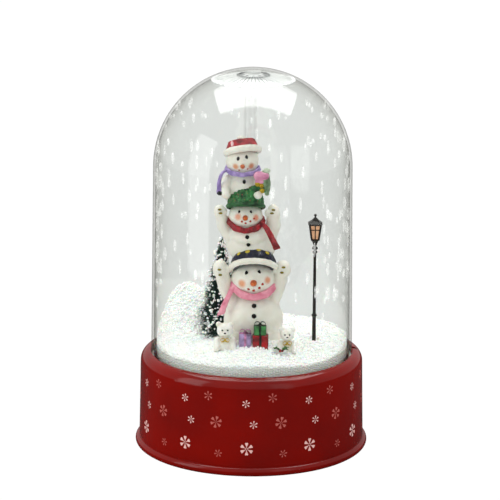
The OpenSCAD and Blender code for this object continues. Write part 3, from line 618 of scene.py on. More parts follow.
# Styrene disc, moulded: clear and hard, its flutes scatter the light from above and look white
def deflector_styrene():
    return finish("moulded_styrene_clear", "#FFFFFF", "#F4F6F7", 4, 0.5, 0.01, 0.12, 0.05,
                  IOR=1.59, Alpha=0.45)


# Painted shade: darker clear styrene laid as rods in the sharp roots of the flutes, where no light comes
# through
def deflector_shadow():
    return clear_plastic("styrene_root_painted_shade", "#8A9093", "#565C5F", 1.59, 0.1, 4)


# Acrylic tube, extruded: clear, with faint drawing haze and weak reflections
def tube_acrylic():
    return clear_plastic("extruded_acrylic", "#FFFFFF", "#F6F6F5", 1.49, 0.08, 6, 0.1)


# Matt white paper: a very even surface with a barely seen mottle. The camera sees it burnt out to
# white; polished surfaces see it dim, as under a black flag
def white_paper():
    paper = finish("matt_white_paper", "#D6D6D6", "#D2D2D2", 40, 1.2, 0.01, 0.9, 0.02,
                   Specular_IOR_Level=0.1)
    tree = paper.node_tree
    path = node(tree, "LightPath").outputs
    dim = node(tree, "BsdfDiffuse", {"Color": linear("#333333")}).outputs[0]
    burnt = node(tree, "Emission", {"Color": linear("#FFFFFF"), "Strength": 1.03}).outputs[0]
    lit = tree.nodes["Principled BSDF"].outputs[0]
    flagged = node(tree, "MixShader", {0: path["Is Glossy Ray"], 1: lit, 2: dim}).outputs[0]
    both = node(tree, "MixShader", {0: path["Is Camera Ray"], 1: flagged, 2: burnt}).outputs[0]
    tree.links.new(both, tree.nodes["Material Output"].inputs["Surface"])
    return paper


# Pieces


def build_dome():
    dress(["dome"], dome_acrylic())
    dress(["riser_tube"], tube_acrylic())


def build_deflector():
    """Fluted disc with its boss and collar."""
    low, high = corners("deflector")
    edge_r = high.x
    boss_r = 6.5
    top = high.z
    flutes = sizes().flutes
    mesh = bmesh.new()

    def fluted(r, z, turn):
        grow = max(0.0, min(1.0, (r - boss_r - 4) / 8))
        return r, z + 0.55 * grow * math.cos(flutes * turn)

    slope = [(boss_r + (edge_r - boss_r) * k / 12, low.z + 6.2 - 5.4 * k / 12) for k in range(13)]
    upper = [(r, z + 0.9) for r, z in slope]
    lathe(mesh, [*upper, *reversed(slope)], steps=flutes * 8, shape=fluted)
    boss_low, boss_high = low.z + 4.5, top - 0.3
    lathe(mesh, [(0, boss_low), (boss_r, boss_low), (boss_r, boss_high), (0, boss_high)], steps=64)
    collar_low, collar_high = low.z + 2.6, low.z + 4.6
    lathe(mesh, [(2.4, collar_low), (3.6, collar_low), (3.6, collar_high), (2.4, collar_high)], steps=48)
    # a dark ring of painted shade round the boss
    lathe(mesh, arc(13.5, low.z + 5.4, 0.6, 0, 330, 11), steps=96, paint=1)
    # Dark lines of painted shade along the flute roots, as (how many, turn of the first, inner end, outer end,
    # radius at each end)
    shade_lines = [
        (flutes, 0.5, (11, 6.2), (edge_r - 1.5, 1.4), (0.24, 0.24)),
        (12, 0, (8, 6.6), (13, 6.8), (0.3, 0.2)),
    ]
    for count, first, (near, near_z), (far, far_z), radii in shade_lines:
        for k in range(count):
            turn = TAU * (k + first) / count
            out = Vector((math.cos(turn), math.sin(turn), 0))
            inner_end = out * near + Vector((0, 0, low.z + near_z))
            outer_end = out * far + Vector((0, 0, low.z + far_z))
            rod(mesh, inner_end, outer_end, *radii, 1, 5)
    lathe(mesh, arc(edge_r - 0.8, low.z + 1.2, 0.7, 0, 330, 11), steps=144)
    piece("deflector_disc", mesh, [deflector_styrene(), deflector_shadow()],
          ["deflector"], "dome")


def build_base():
    dress(["base_shell", "bottom_cover", "battery_door"], red_lacquer())
    dress(["rubber_feet"], foot_rubber())
    dress(["cover_screws", "tray_screws"], zinc_steel())


def wall_point(azimuth, height, lift):
    """Point on the flared red wall, a little in front of it, azimuth in degrees from -Y towards +X."""
    top_r = SHELL_HIGH.x - sizes().flare / MM
    shoulder = SHELL_HIGH.z - sizes().shoulder / MM
    share = (shoulder - height) / (shoulder - SHELL_LOW.z)
    radius = top_r + (SHELL_HIGH.x - top_r) * share + lift
    turn = math.radians(azimuth + FRONT)
    return Vector((radius * math.cos(turn), radius * math.sin(turn), height))


# Half outlines of a flake's arm as shares of its length: distance from the centre, half width
PLAIN_ARM = ((0.12, 0.03), (0.42, 0.055), (0.62, 0.12), (0.84, 0.17), (0.96, 0.12), (1.0, 0.0))
BRANCHED_ARM = (
    (0.1, 0.035), (0.4, 0.05), (0.55, 0.13), (0.7, 0.2), (0.86, 0.25), (0.98, 0.16), (0.93, 0.0),
)
INK_BACK, INK_FACE = 0.02, 0.07  # mm in front of the wall


def flake(mesh, azimuth, height, width, arm_outline, lean):
    """Six-armed snowflake, a thin layer of ink wrapped on the wall."""
    half = width / 2
    top_r = SHELL_HIGH.x
    for arm in range(6):
        turn = TAU * arm / 6 + math.radians(lean)
        edge = [*arm_outline, *((u, -v) for u, v in reversed(arm_outline[:-1]))]
        loops = []
        for lift in (INK_BACK, INK_FACE):
            ring = []
            for u, v in edge:
                x = half * (u * math.sin(turn) + v * math.cos(turn))
                y = half * (u * math.cos(turn) - v * math.sin(turn))
                place = wall_point(azimuth + math.degrees(x / top_r), height + y, lift)
                ring.append(mesh.verts.new(place))
            loops.append(ring)
        mesh.faces.new(loops[1])
        mesh.faces.new(loops[0])
        count = len(edge)
        for k in range(count):
            j = (k + 1) % count
            mesh.faces.new((loops[0][k], loops[0][j], loops[1][j], loops[1][k]))


def wall_is_free(azimuth, height, width):
    """False where the slide switch or the DC inlet comes through the wall."""
    spot = wall_point(azimuth, height, 0)
    for part, room in (("switch_knob", 13), ("dc_inlet", 7)):
        middle = centre_of(part)
        outside = middle.xy.normalized() * spot.xy.length
        if (spot - Vector((*outside, middle.z))).length < room + width / 2:
            return False
    return True


def build_print():
    """Snowflakes round the wall: a white set and a fainter pink set, repeated eleven times."""
    repeats = sizes().repeats
    # Azimuth and height of the centre, width, outline of an arm, lean in degrees
    white = [
        (-2.6, 64, 6.8, PLAIN_ARM, 8), (1.2, 46, 6.9, PLAIN_ARM, 5), (-2.2, 25, 11.3, BRANCHED_ARM, 0),
    ]
    pink = [
        (10.7, 69, 7.9, PLAIN_ARM, -4), (15.0, 47, 10.5, BRANCHED_ARM, 12), (16.2, 20, 6.8, PLAIN_ARM, 20),
    ]
    inks = {
        "snowflake_print_white": (white, print_ink("screen_ink_white", "#E2BCB6", "#CE978F")),
        "snowflake_print_pink": (pink, print_ink("screen_ink_pink", "#B4584E", "#9C3F36")),
    }
    for name, (flakes, ink) in inks.items():
        mesh = bmesh.new()
        for k in range(repeats):
            for azimuth, height, width, arm_outline, lean in flakes:
                place = azimuth + 360 * k / repeats
                if wall_is_free(place, height, width):
                    flake(mesh, place, height, width, arm_outline, lean)
        piece(name, mesh, [ink])


# Forms of the snow's surface as x, y, spread in x, spread in y, height, all in millimetres
SNOW_FORMS = (
    (-62, 54, 27, 27, 34),  # drift at the back left
    (1, -38, 24, 20, 12),  # mound that carries the gifts
    (58, -2, 24, 28, 4.5),  # shelf round the lamp post
    (50, -52, 18, 18, -3),  # hollow in front of it
)


def snow_height(x, y):
    """Surface of the loose snow: rising a little towards the back, with its forms and small lumps."""
    rise = max(0.0, min(1.0, (y + 60) / 120))
    height = DECK + 15 + 4 * rise * rise * (3 - 2 * rise)
    for middle_x, middle_y, spread_x, spread_y, tall in SNOW_FORMS:
        away = (x - middle_x) ** 2 / (2 * spread_x ** 2) + (y - middle_y) ** 2 / (2 * spread_y ** 2)
        height += tall * math.exp(-away)
    lumps = 1.6 * noise.noise(Vector((x / 14, y / 14, 0.3))) + 0.7 * noise.noise(Vector((x / 5, y / 5, 4)))
    return height + lumps


def snow_is_open(x, y):
    """False inside the figures and fittings that stand in the snow."""
    stands = [
        (BOTTOM_AXIS.x, BOTTOM_AXIS.y, 22), (TUBE.x, TUBE.y, 5.2), (TREE.x, TREE.y, 2.5),
        (LAMP.x, LAMP.y, 3.8), (-22.6, -44, 6), (30, -43, 6),  # the last two are the bears
    ]
    return all((x - a) ** 2 + (y - b) ** 2 > r * r for a, b, r in stands)


def build_snow():
    """Loose snow: a bed and the beads that lie on it."""
    mesh = bmesh.new()
    rings, steps = 60, 128
    bead = sizes().bead / MM
    top_r = SNOW_R - 1.6
    sink = bead * 0.45  # how far the bed lies under the beads' own surface
    grid = []
    for i in range(1, rings + 1):
        r = top_r * i / rings
        row = []
        for k in range(steps):
            x, y = r * math.cos(TAU * k / steps), r * math.sin(TAU * k / steps)
            row.append(mesh.verts.new((x, y, snow_height(x, y) - sink)))
        grid.append(row)
    peak = mesh.verts.new((0, 0, snow_height(0, 0) - sink))
    foot = [mesh.verts.new((v.co.x, v.co.y, DECK + 0.4)) for v in grid[-1]]
    for k in range(steps):
        j = (k + 1) % steps
        mesh.faces.new((peak, grid[0][k], grid[0][j]))
        for here, there in zip(grid, grid[1:] + [foot]):
            mesh.faces.new((here[k], there[k], there[j], here[j]))
    mesh.faces.new(foot)
    piece("snow_bed_loose", mesh, [foam_bead()], ["snow_bed"])

    rng = np.random.default_rng(11)
    pitch = bead * 0.93
    spots = []
    rows = int(2 * top_r / (pitch * ROW_STEP)) + 1
    for i in range(rows):
        y = -top_r + i * pitch * ROW_STEP
        for k in range(int(2 * top_r / pitch) + 1):
            x = -top_r + (k + (i % 2) / 2) * pitch
            spots.append((x + rng.normal(0, 0.3), y + rng.normal(0, 0.3), 0.0))
    for _ in range(sizes().extra_beads):
        r = top_r * math.sqrt(rng.random())
        turn = rng.random() * TAU
        spots.append((r * math.cos(turn), r * math.sin(turn), 0.55 * bead * rng.random()))
    centres, radii = [], []
    for x, y, lift in spots:
        radius = bead / 2 * rng.uniform(0.72, 1.12)
        if math.hypot(x, y) + radius < SNOW_R and snow_is_open(x, y):
            centres.append((x, y, snow_height(x, y) - bead * 0.25 + lift + rng.normal(0, 0.25)))
            radii.append(radius)
    # The outer wall of the snow, seen through the dome
    columns = 230
    edge_r = SNOW_R - 1.0
    for k in range(columns):
        turn = TAU * k / columns
        x, y = edge_r * math.cos(turn), edge_r * math.sin(turn)
        z = DECK + 5 + (k % 2) * bead / 2
        while z < snow_height(x, y):
            centres.append((x, y, z + rng.normal(0, 0.3)))
            radii.append(bead / 2 * rng.uniform(0.78, 1.02))
            z += bead * 0.95
    part = 2400  # beads in one piece, to keep each one's faces few
    for k in range(0, len(centres), part):
        swarm(f"snow_beads_{k // part + 1}", centres[k:k + part], radii[k:k + part], foam_bead())


def build_flying_snow():
    """Beads that fall along the inside of the dome, drawn out as the eye sees them."""
    rng = np.random.default_rng(5)
    inner = DOME_R - 3.6
    cap = DOME_HIGH.z - DOME_R + 2
    centres, radii = [], []
    for _ in range(sizes().streaks):
        turn = rng.random() * TAU
        z = RIM_TOP + 20 + (DOME_HIGH.z - RIM_TOP - 45) * rng.random() ** 0.8
        r = inner if z < cap else math.sqrt(max(inner ** 2 - (z - cap) ** 2, 0.0))
        x, y = r * math.cos(turn), r * math.sin(turn)
        before_figures = y < 0 and abs(x) < 36 and z < TOP_HAT.z + 8
        if r < 32 or before_figures:
            continue
        r = r - 1.2
        length = rng.uniform(2.8, 7) * (1.0 if z < cap + 25 else 0.6)
        wide = rng.uniform(0.8, 1.5)
        centres.append((r * math.cos(turn), r * math.sin(turn), z))
        radii.append((wide, wide, length))
    swarm("flying_snow", centres, radii, flying_bead(), body="dome", fineness=3)


def on_front(centre, radii, x, z, lift=0.0):
    """Point on the front of an ellipsoid, at a given x and z."""
    share = 1 - ((x - centre[0]) / radii[0]) ** 2 - ((z - centre[2]) / radii[2]) ** 2
    return Vector((x, centre[1] - radii[1] * math.sqrt(max(share, 0.02)) - lift, z))


def face_details(mesh, head, radii, eyes, nose, mouth, eye_size, nose_size, dot):
    """Eyes, a round carrot nose and a mouth of dots, each a dab of paint on a small form."""
    for x, z in eyes:
        ball(mesh, on_front(head, radii, x, z), (eye_size * 0.66, 0.45, eye_size), 3, 0)
        # painted highlight: a white dot high on each eye stands in for a glint
        glint_spot = on_front(head, radii, x - eye_size * 0.2, z + eye_size * 0.4, 0.42)
        ball(mesh, glint_spot, (0.24, 0.1, 0.24), 2, 3)
    tip = on_front(head, radii, *nose)
    limb(mesh, [tip, tip + Vector((0.1, -nose_size * 1.1, 0.2))], [nose_size, nose_size * 0.72], 1)
    for x, z in mouth:
        ball(mesh, on_front(head, radii, x, z), (dot, 0.4, dot * 0.9), 2, 2)


def black_dab():
    return enamel("enamel_black", "#0B0A0A", "#161414")


def gold_pad():
    return enamel("gold_pad", "#9A8A2C", "#6F6120")


def face_paints():
    """Paints of face_details, in its order."""
    return [
        black_dab(),
        brushed_paint("carrot_orange", "#E5722A", "#B04C18", 0.6, 0.04, 0.35),
        enamel("enamel_coral", "#C4473A", "#A33227"),
        # white of the painted eye highlights
        enamel("enamel_white_glint", "#F7F5EF", "#ECE8DE"),
    ]


def scarf_ring(mesh, centre, radius, front_z, side_z, back_z, width, thick):
    """Scarf wound round a neck, lower at the front, its folds running along it."""
    points, across = [], []
    steps = 72
    for k in range(steps):
        turn = TAU * k / steps
        front = max(0.0, -math.sin(turn)) ** 1.3
        back = max(0.0, math.sin(turn))
        z = side_z + (front_z - side_z) * front + (back_z - side_z) * back
        wave = 0.25 * math.sin(9 * turn)
        reach = radius[0] * math.cos(turn), radius[1] * math.sin(turn)
        points.append((centre[0] + reach[0], centre[1] + reach[1], z + wave))
        across.append((math.cos(turn) * -0.35, math.sin(turn) * -0.35, 1))
    widths = [width * (1 + 0.06 * math.sin(5 * TAU * k / steps)) for k in range(steps)]
    band(mesh, points, across, widths, [thick] * steps, True, 0, 24, 6)


def smooth_path(points, count=24):
    """Even points on a smooth curve through the given ones."""
    knots = [Vector(p) for p in points]
    knots = [2 * knots[0] - knots[1], *knots, 2 * knots[-1] - knots[-2]]
    spans = len(knots) - 3
    made = []
    for k in range(count + 1):
        at = spans * k / count
        i = min(int(at), spans - 1)
        t = at - i
        a, b, c, d = knots[i:i + 4]
        made.append(0.5 * (2 * b + (c - a) * t + (2 * a - 5 * b + 4 * c - d) * t * t
                           + (3 * b - a - 3 * c + d) * t ** 3))
    return made


def scarf_tail(mesh, points, width, thick, fringe):
    """Hanging end of a scarf, with a fringe cut in its edge."""
    path = smooth_path(points)
    count = len(path)
    across = [(1, -0.25, 0.35)] * count
    widths = [width * (0.8 + 0.25 * k / count) for k in range(count)]
    band(mesh, path, across, widths, [thick] * count, False, 0, 20, 4)
    end, before = path[-1], path[-3]
    down = (end - before).normalized()
    side = Vector(across[-1]).normalized()
    for k in range(fringe):
        root = end + side * width * (k / (fringe - 1) - 0.5) * 0.9
        limb(mesh, [root - down * 0.5, root + down * 1.8], [thick * 0.33, thick * 0.24])


def hand_marks(mesh, spots):
    """Gold pads painted on the raised mittens, in the paint that follows those of a face."""
    for place in spots:
        ball(mesh, place, (1.7, 0.5, 1.0), 3, 4)


def build_bottom_snowman():
    axis = Vector((BOTTOM_AXIS.x, BOTTOM_AXIS.y, 0))
    head = axis + Vector((0, -0.5, DECK + 75))
    head_r = (18.8, 17.6, 16.6)
    mesh = bmesh.new()
    ball(mesh, axis + Vector((0, 0, DECK + 38)), (25.4, 23, 28), 5)
    lathe(mesh, [(0, DECK + 10), (23.6, DECK + 10), (24.6, DECK + 32), (0, DECK + 32)], axis.xy, 96)
    ball(mesh, head, head_r, 5)
    for side, reach in ((-1, 28.4), (1, 25.2)):
        limb(mesh, [
            axis + Vector((side * 14, -1, DECK + 52)),
            axis + Vector((side * (reach - 4.4), -2.5, DECK + 67)),
            axis + Vector((side * reach, -3.5, DECK + 86)),
        ], [7, 6, 6])
        ball(mesh, axis + Vector((side * reach, -3.5, DECK + 83.5)), (6.6, 6, 7.6), 4)
        ball(mesh, axis + Vector((side * (reach - 6.6), -5, DECK + 84)), (2.4, 2.4, 3.6), 3)
    mesh = fuse(mesh, 0.7, 5)
    ripple(mesh, 6, 0.35)
    cheeks = [
        (on_front(head, head_r, axis.x - 10, DECK + 74.3), 5.2, "#E8935A", 0.85),
        (on_front(head, head_r, axis.x + 12, DECK + 77), 4.6, "#E0804A", 0.8),
    ]
    piece("snowman_bottom_body", mesh, [figure_resin("painted_resin_lower", cheeks)],
          ["snowman_bottom"])

    mesh = bmesh.new()
    x = axis.x
    face_details(mesh, head, head_r, [(x - 6, DECK + 83.3), (x + 4.7, DECK + 84)], (x, DECK + 75.4),
                 [
                     (x - 4.1, DECK + 70.1), (x + 0.2, DECK + 68.8), (x + 5, DECK + 71.1),
                     (x + 7.5, DECK + 74.3),
                 ], 2.2, 2.9, 1.3)
    for height in (56.4, 47.5):
        place = Vector((x + 0.6, axis.y - 22.6 + abs(height - 40) * 0.09, DECK + height))
        ball(mesh, place, (2.1, 0.9, 2.1), 3, 0)
    hand_marks(mesh, [
        axis + Vector((side * lean, -10.2, DECK + z))
        for side, lean, z in ((-1, 29, 85), (-1, 28.3, 80.4), (1, 25.4, 87.4), (1, 24, 82.8))
    ])
    piece("snowman_bottom_face", mesh, [*face_paints(), gold_pad()])
    build_bottom_hat(axis)

    mesh = bmesh.new()
    scarf_ring(mesh, axis + Vector((0, -1, 0)), (18.6, 17.4), DECK + 63.4, DECK + 72, DECK + 73, 6.4, 3.4)
    scarf_tail(mesh, [
        (x - 17.5, axis.y - 9, DECK + 70), (x - 20.5, axis.y - 13, DECK + 64),
        (x - 24.5, axis.y - 15.5, DECK + 56), (x - 27, axis.y - 16, DECK + 49),
    ], 6.4, 2.6, 5)
    mesh = fuse(mesh, 0.42, 2)
    ripple(mesh, 2.2, 0.3, 3)
    piece("scarf_bottom_knit", mesh, [brushed_paint("scarf_paint_pink", "#F2A3B5", "#D9748E", 0.55, 0.1)],
          ["scarf_bottom"])


def tilted(axis, height, lean, roll=0.0):
    """Frame of a hat: its own upright, leaning back and rolled to one side."""
    return (Matrix.Translation(axis + Vector((0, 0, height)))
            @ Matrix.Rotation(math.radians(roll), 4, "Y") @ Matrix.Rotation(math.radians(-lean), 4, "X"))


def build_bottom_hat(axis):
    """Navy cap with yellow dots and a thick rolled white brim."""
    pose = tilted(axis + Vector((0, -2.8, 0)), DECK + 85.6, 34)
    mesh = bmesh.new()
    crown = [(19.6 * x, 19.5 * z) for x, z in arc(0, 0, 1, 90, 0, 15)]
    lathe(mesh, [*crown, (19.2, -3), (15, -3), (0, 6)], steps=96,
          shape=lambda r, z, turn: (r * (1 + 0.012 * math.cos(10 * turn)), z))
    bmesh.ops.transform(mesh, matrix=pose, verts=mesh.verts[:])
    piece("hat_bottom_cap", mesh, [brushed_paint("hat_paint_navy", "#20233F", "#0D0E1C", 0.7, 0.08, 0.3)],
          ["hat_bottom"])
    mesh = bmesh.new()
    rng = np.random.default_rng(2)
    spots = [(-134, 22), (-113, 47), (-107, 24), (-88, 52), (-76, 30), (-50, 24)]
    spots += [(-20, 40), (8, 20), (30, 48), (52, 22), (82, 42), (108, 20), (135, 46), (160, 22), (-165, 42)]
    for azimuth, rise in spots:
        turn, up = math.radians(azimuth), math.radians(rise)
        r, z = 19.7 * math.cos(up), 19.6 * math.sin(up)
        spot = Vector((r * math.cos(turn), r * math.sin(turn), z))
        facing = Vector((spot.x / 19.6 ** 2, spot.y / 19.6 ** 2, spot.z / 19.5 ** 2))
        lie = facing.to_track_quat("Z", "Y").to_matrix().to_4x4()
        ball(mesh, spot, (rng.uniform(1.9, 2.3), rng.uniform(1.6, 2.0), 0.35), 3, 0, lie)
    bmesh.ops.transform(mesh, matrix=pose, verts=mesh.verts[:])
    piece("hat_bottom_dots", mesh, [enamel("enamel_yellow", "#D9C23A", "#A8902A")])
    mesh = bmesh.new()
    fur_roll(mesh, (19.2, 19), 2.3)
    bmesh.ops.transform(mesh, matrix=pose @ Matrix.Translation((0, 0, -1.2)), verts=mesh.verts[:])
    piece("hat_bottom_brim", mesh, [figure_resin("painted_resin_brim")])


def fur_roll(mesh, radii, thick):
    """Rolled brim with tufts, as carved fur trim is."""
    steps, sides = 140, 20
    rings = []
    for k in range(steps):
        turn = TAU * k / steps
        ring = []
        for i in range(sides):
            side = TAU * i / sides
            tuft = 1 + 0.16 * noise.noise(Vector((math.cos(turn) * 9, math.sin(turn) * 9, 2 * side)))
            r = thick * tuft
            reach_x, reach_y = (radius + r * math.cos(side) for radius in radii)
            ring.append(mesh.verts.new((
                reach_x * math.cos(turn), reach_y * math.sin(turn), 1.15 * r * math.sin(side),
            )))
        rings.append(ring)
    for k in range(steps):
        here, there = rings[k], rings[(k + 1) % steps]
        for i in range(sides):
            j = (i + 1) % sides
            mesh.faces.new((here[i], here[j], there[j], there[i]))


def build_middle_snowman():
    y = BOTTOM_AXIS.y
    head = Vector((-5.8, y, DECK + 129.6))
    head_r = (14.4, 13.6, 12.8)
    trunk = Vector((-0.8, y + 3, 0))
    mesh = bmesh.new()
    ball(mesh, trunk + Vector((0, 2.5, DECK + 105.5)), (21.8, 17, 19.5), 5)
    ball(mesh, trunk + Vector((-1.5, -0.5, DECK + 114)), (18.5, 17, 12), 4)
    ball(mesh, head, head_r, 5)
    limb(mesh, [trunk + Vector((-16.5, -1, DECK + 110)), trunk + Vector((-24, -2.5, DECK + 121)),
                trunk + Vector((-26.4, -3.5, DECK + 133))], [6, 5.4, 4.8])
    ball(mesh, trunk + Vector((-27, -4, DECK + 133.5)), (5.2, 4.8, 6), 4)
    ball(mesh, trunk + Vector((-22.6, -5.5, DECK + 134)), (2, 2, 3.2), 3)
    limb(mesh, [trunk + Vector((14, -1, DECK + 110)), trunk + Vector((18.6, -3, DECK + 122)),
                trunk + Vector((18.2, -4, DECK + 133))], [7, 6.4, 5.4])
    ball(mesh, trunk + Vector((18.4, -4, DECK + 131)), (5.8, 5.2, 9.4), 4)
    ball(mesh, trunk + Vector((13.4, -6, DECK + 133)), (2.2, 2.2, 3.4), 3)
    mesh = fuse(mesh, 0.6, 5)
    ripple(mesh, 5, 0.3, 7)
    blushes = [
        (on_front(head, head_r, head.x - 6.6, DECK + 131.6), 4.2, "#E8936A", 0.85),
        (on_front(head, head_r, head.x + 8.8, DECK + 130.6), 4.2, "#E0784C", 0.85),
    ]
    piece("snowman_middle_body", mesh, [figure_resin("painted_resin_middle", blushes)],
          ["snowman_middle"])

    mesh = bmesh.new()
    face_details(mesh, head, head_r, [(head.x - 5.4, DECK + 135.6), (head.x + 4.4, DECK + 135.6)],
                 (head.x - 0.3, DECK + 131), [
                     (head.x - 3.2, DECK + 127.8), (head.x, DECK + 126.5), (head.x + 4, DECK + 128),
                     (head.x + 7, DECK + 130.2),
                 ], 1.6, 2.4, 1.0)
    for along, front, height in ((-3.6, 17.3, 114.6), (-2.5, 15.3, 107.7)):
        ball(mesh, (trunk.x + along, trunk.y - front, DECK + height), (1.8, 0.9, 1.8), 3, 0)
    hand_marks(mesh, [
        Vector((-27.8, y - 5.8, DECK + 136.4)), Vector((-27, y - 5.8, DECK + 133.2)),
        Vector((17.6, y - 6.6, DECK + 136.6)), Vector((16.4, y - 6.6, DECK + 133.6)),
    ])
    piece("snowman_middle_face", mesh, [*face_paints(), gold_pad()])

    mesh = bmesh.new()
    scarf_ring(mesh, (head.x + 0.2, y - 0.6, 0), (14.6, 14.2), DECK + 120.4, DECK + 126.6, DECK + 127,
               5.2, 3.4)
    scarf_tail(mesh, [
        (head.x + 13.4, y - 8, DECK + 126), (head.x + 17.6, y - 14, DECK + 122.5),
        (head.x + 22, y - 17, DECK + 115), (head.x + 26, y - 16, DECK + 106.5),
    ], 5.6, 2.6, 5)
    mesh = fuse(mesh, 0.4, 2)
    ripple(mesh, 2, 0.3, 9)
    piece("scarf_middle_knit", mesh, [brushed_paint("scarf_paint_red", "#B31B28", "#6E0E18", 0.55, 0.1)],
          ["scarf_middle"])
    build_middle_hat(head)


def build_middle_hat(head):
    """Green knitted stocking cap whose point flops to one side and ends in bells."""
    mesh = bmesh.new()
    pose = tilted(Vector((head.x, head.y - 2, 0)), DECK + 140, 21)
    crown = [(15.4 * x, 19 * z) for x, z in arc(0, 0, 1, 90, 0, 15)]
    lathe(mesh, [*crown, (15.6, -2.4), (0, -2.4)], steps=96)
    bmesh.ops.transform(mesh, matrix=pose, verts=mesh.verts[:])
    start = Vector((head.x + 4, head.y - 5, DECK + 150))
    limb(mesh, [start, start + Vector((5.5, -4.5, 5.6)), start + Vector((8.6, -6.5, 7.6)),
                start + Vector((11.4, -7.5, 4.4))], [7, 3.6, 2.6, 1.8])
    mesh = fuse(mesh, 0.45, 4)
    for vert in mesh.verts:
        turn = math.atan2(vert.co.y - head.y, vert.co.x - head.x)
        vert.co += vert.normal * (0.28 * math.cos(26 * turn) + 0.2 * math.sin(vert.co.z * 2.6))
    knit = brushed_paint("hat_paint_green", "#3F8F4C", "#12401F", 0.6, 0.12, 0.42, "#A8533A")
    piece("hat_middle_cap", mesh, [knit], ["hat_middle"])

    mesh = bmesh.new()
    fur_roll(mesh, (15.2, 15), 1.6)
    bmesh.ops.transform(mesh, matrix=pose @ Matrix.Translation((0, 0, -1.6)), verts=mesh.verts[:])
    dark_knit = brushed_paint("hat_paint_green_dark", "#2E6E3A", "#0F331A", 0.5, 0.12, 0.45)
    piece("hat_middle_brim", mesh, [dark_knit])
    mesh = bmesh.new()
    for along, front, height, radius in (
        (10, 13, 160.6, 2.5), (13.2, 13.2, 159, 2.2), (14, 13, 154.8, 2.3),
    ):
        ball(mesh, (head.x + along, head.y - front, DECK + height), radius)
    piece("hat_middle_bells", mesh, [gold_paint()])


def build_top_snowman():
    axis = Vector((TOP_AXIS.x, TOP_AXIS.y, 0))
    head = axis + Vector((0, -0.5, DECK + 177))
    head_r = (14, 12.8, 12.4)
    mesh = bmesh.new()
    ball(mesh, axis + Vector((0, 2, DECK + 154)), (17, 14, 15), 5)
    ball(mesh, axis + Vector((0, 3, DECK + 146)), (15, 11, 9), 4)
    ball(mesh, head, head_r, 5)
    for side in (-1, 1):
        limb(mesh, [
            axis + Vector((side * 12, -3, DECK + 160)), axis + Vector((side * 15.4, -9, DECK + 155)),
            axis + Vector((side * 13.4, -14, DECK + 150.5)),
        ], [5, 4.4, 3.8])
    mesh = fuse(mesh, 0.55, 5)
    ripple(mesh, 5, 0.28, 13)
    blushes = [
        (on_front(head, head_r, head.x - 5.6, DECK + 174.2), 3.8, "#DC8A52", 0.9),
        (on_front(head, head_r, head.x + 7.8, DECK + 174.6), 4.0, "#C9723C", 0.9),
    ]
    piece("snowman_top_body", mesh, [figure_resin("painted_resin_upper", blushes)],
          ["snowman_top"])

    mesh = bmesh.new()
    face_details(mesh, head, head_r, [(head.x - 3.4, DECK + 181), (head.x + 3.6, DECK + 182.2)],
                 (head.x + 0.3, DECK + 174.6), [(head.x - 2.6, DECK + 171.4), (head.x + 4.6, DECK + 172.4)],
                 2.0, 2.0, 0.8)
    ball(mesh, (head.x + 1.8, axis.y - 11, DECK + 161), (1.4, 0.8, 1.9), 3, 0)
    piece("snowman_top_face", mesh, face_paints())

    mesh = bmesh.new()
    scarf_ring(mesh, (axis.x + 0.4, axis.y - 1, 0), (13.8, 12.8), DECK + 167.8, DECK + 170.4, DECK + 170.6,
               4.2, 2.8)
    scarf_tail(mesh, [
        (axis.x - 12.6, axis.y - 6, DECK + 170.4), (axis.x - 17.2, axis.y - 10, DECK + 167.4),
        (axis.x - 19.4, axis.y - 12, DECK + 160), (axis.x - 19.4, axis.y - 13, DECK + 153.6),
    ], 3.8, 2.2, 4)
    mesh = fuse(mesh, 0.36, 2)
    ripple(mesh, 1.8, 0.22, 5)
    piece("scarf_top_knit", mesh, [brushed_paint("scarf_paint_lavender", "#B79FD8", "#7D66A6", 0.5, 0.1)],
          ["scarf_top"])
    build_top_hat(axis)
    build_stocking(axis)


def build_top_hat(axis):
    """Red felt cap, pressed flat on top, with a rolled white brim."""
    pose = tilted(axis, DECK + 187.4, 22, -8)
    mesh = bmesh.new()
    shoulder = reversed(arc(9.8, 5.2, 1.8, 0, 80, 5))
    outline = [(0, 5.2), (7, 5.8), *shoulder, (14.2, -1.4), (13.8, -2.6), (0, -2.6)]
    lathe(mesh, outline, steps=96, shape=lambda r, z, turn: (r * (1 + 0.03 * math.cos(2 * turn)), z))
    mesh = fuse(mesh, 0.45, 4)
    ripple(mesh, 4, 0.5, 21)
    bmesh.ops.transform(mesh, matrix=pose, verts=mesh.verts[:])
    piece("hat_top_cap", mesh, [brushed_paint("hat_paint_red", "#C4202C", "#6E0F16", 0.6, 0.08, 0.36)],
          ["hat_top"])
    mesh = bmesh.new()
    fur_roll(mesh, (13.8, 13.4), 2.5)
    bmesh.ops.transform(mesh, matrix=pose @ Matrix.Translation((0, 0, -2.4)), verts=mesh.verts[:])
    ball(mesh, axis + Vector((-0.6, 1.5, DECK + 196.2)), (4.2, 4, 2), 3)
    piece("hat_top_brim", mesh, [figure_resin("painted_resin_brim")])


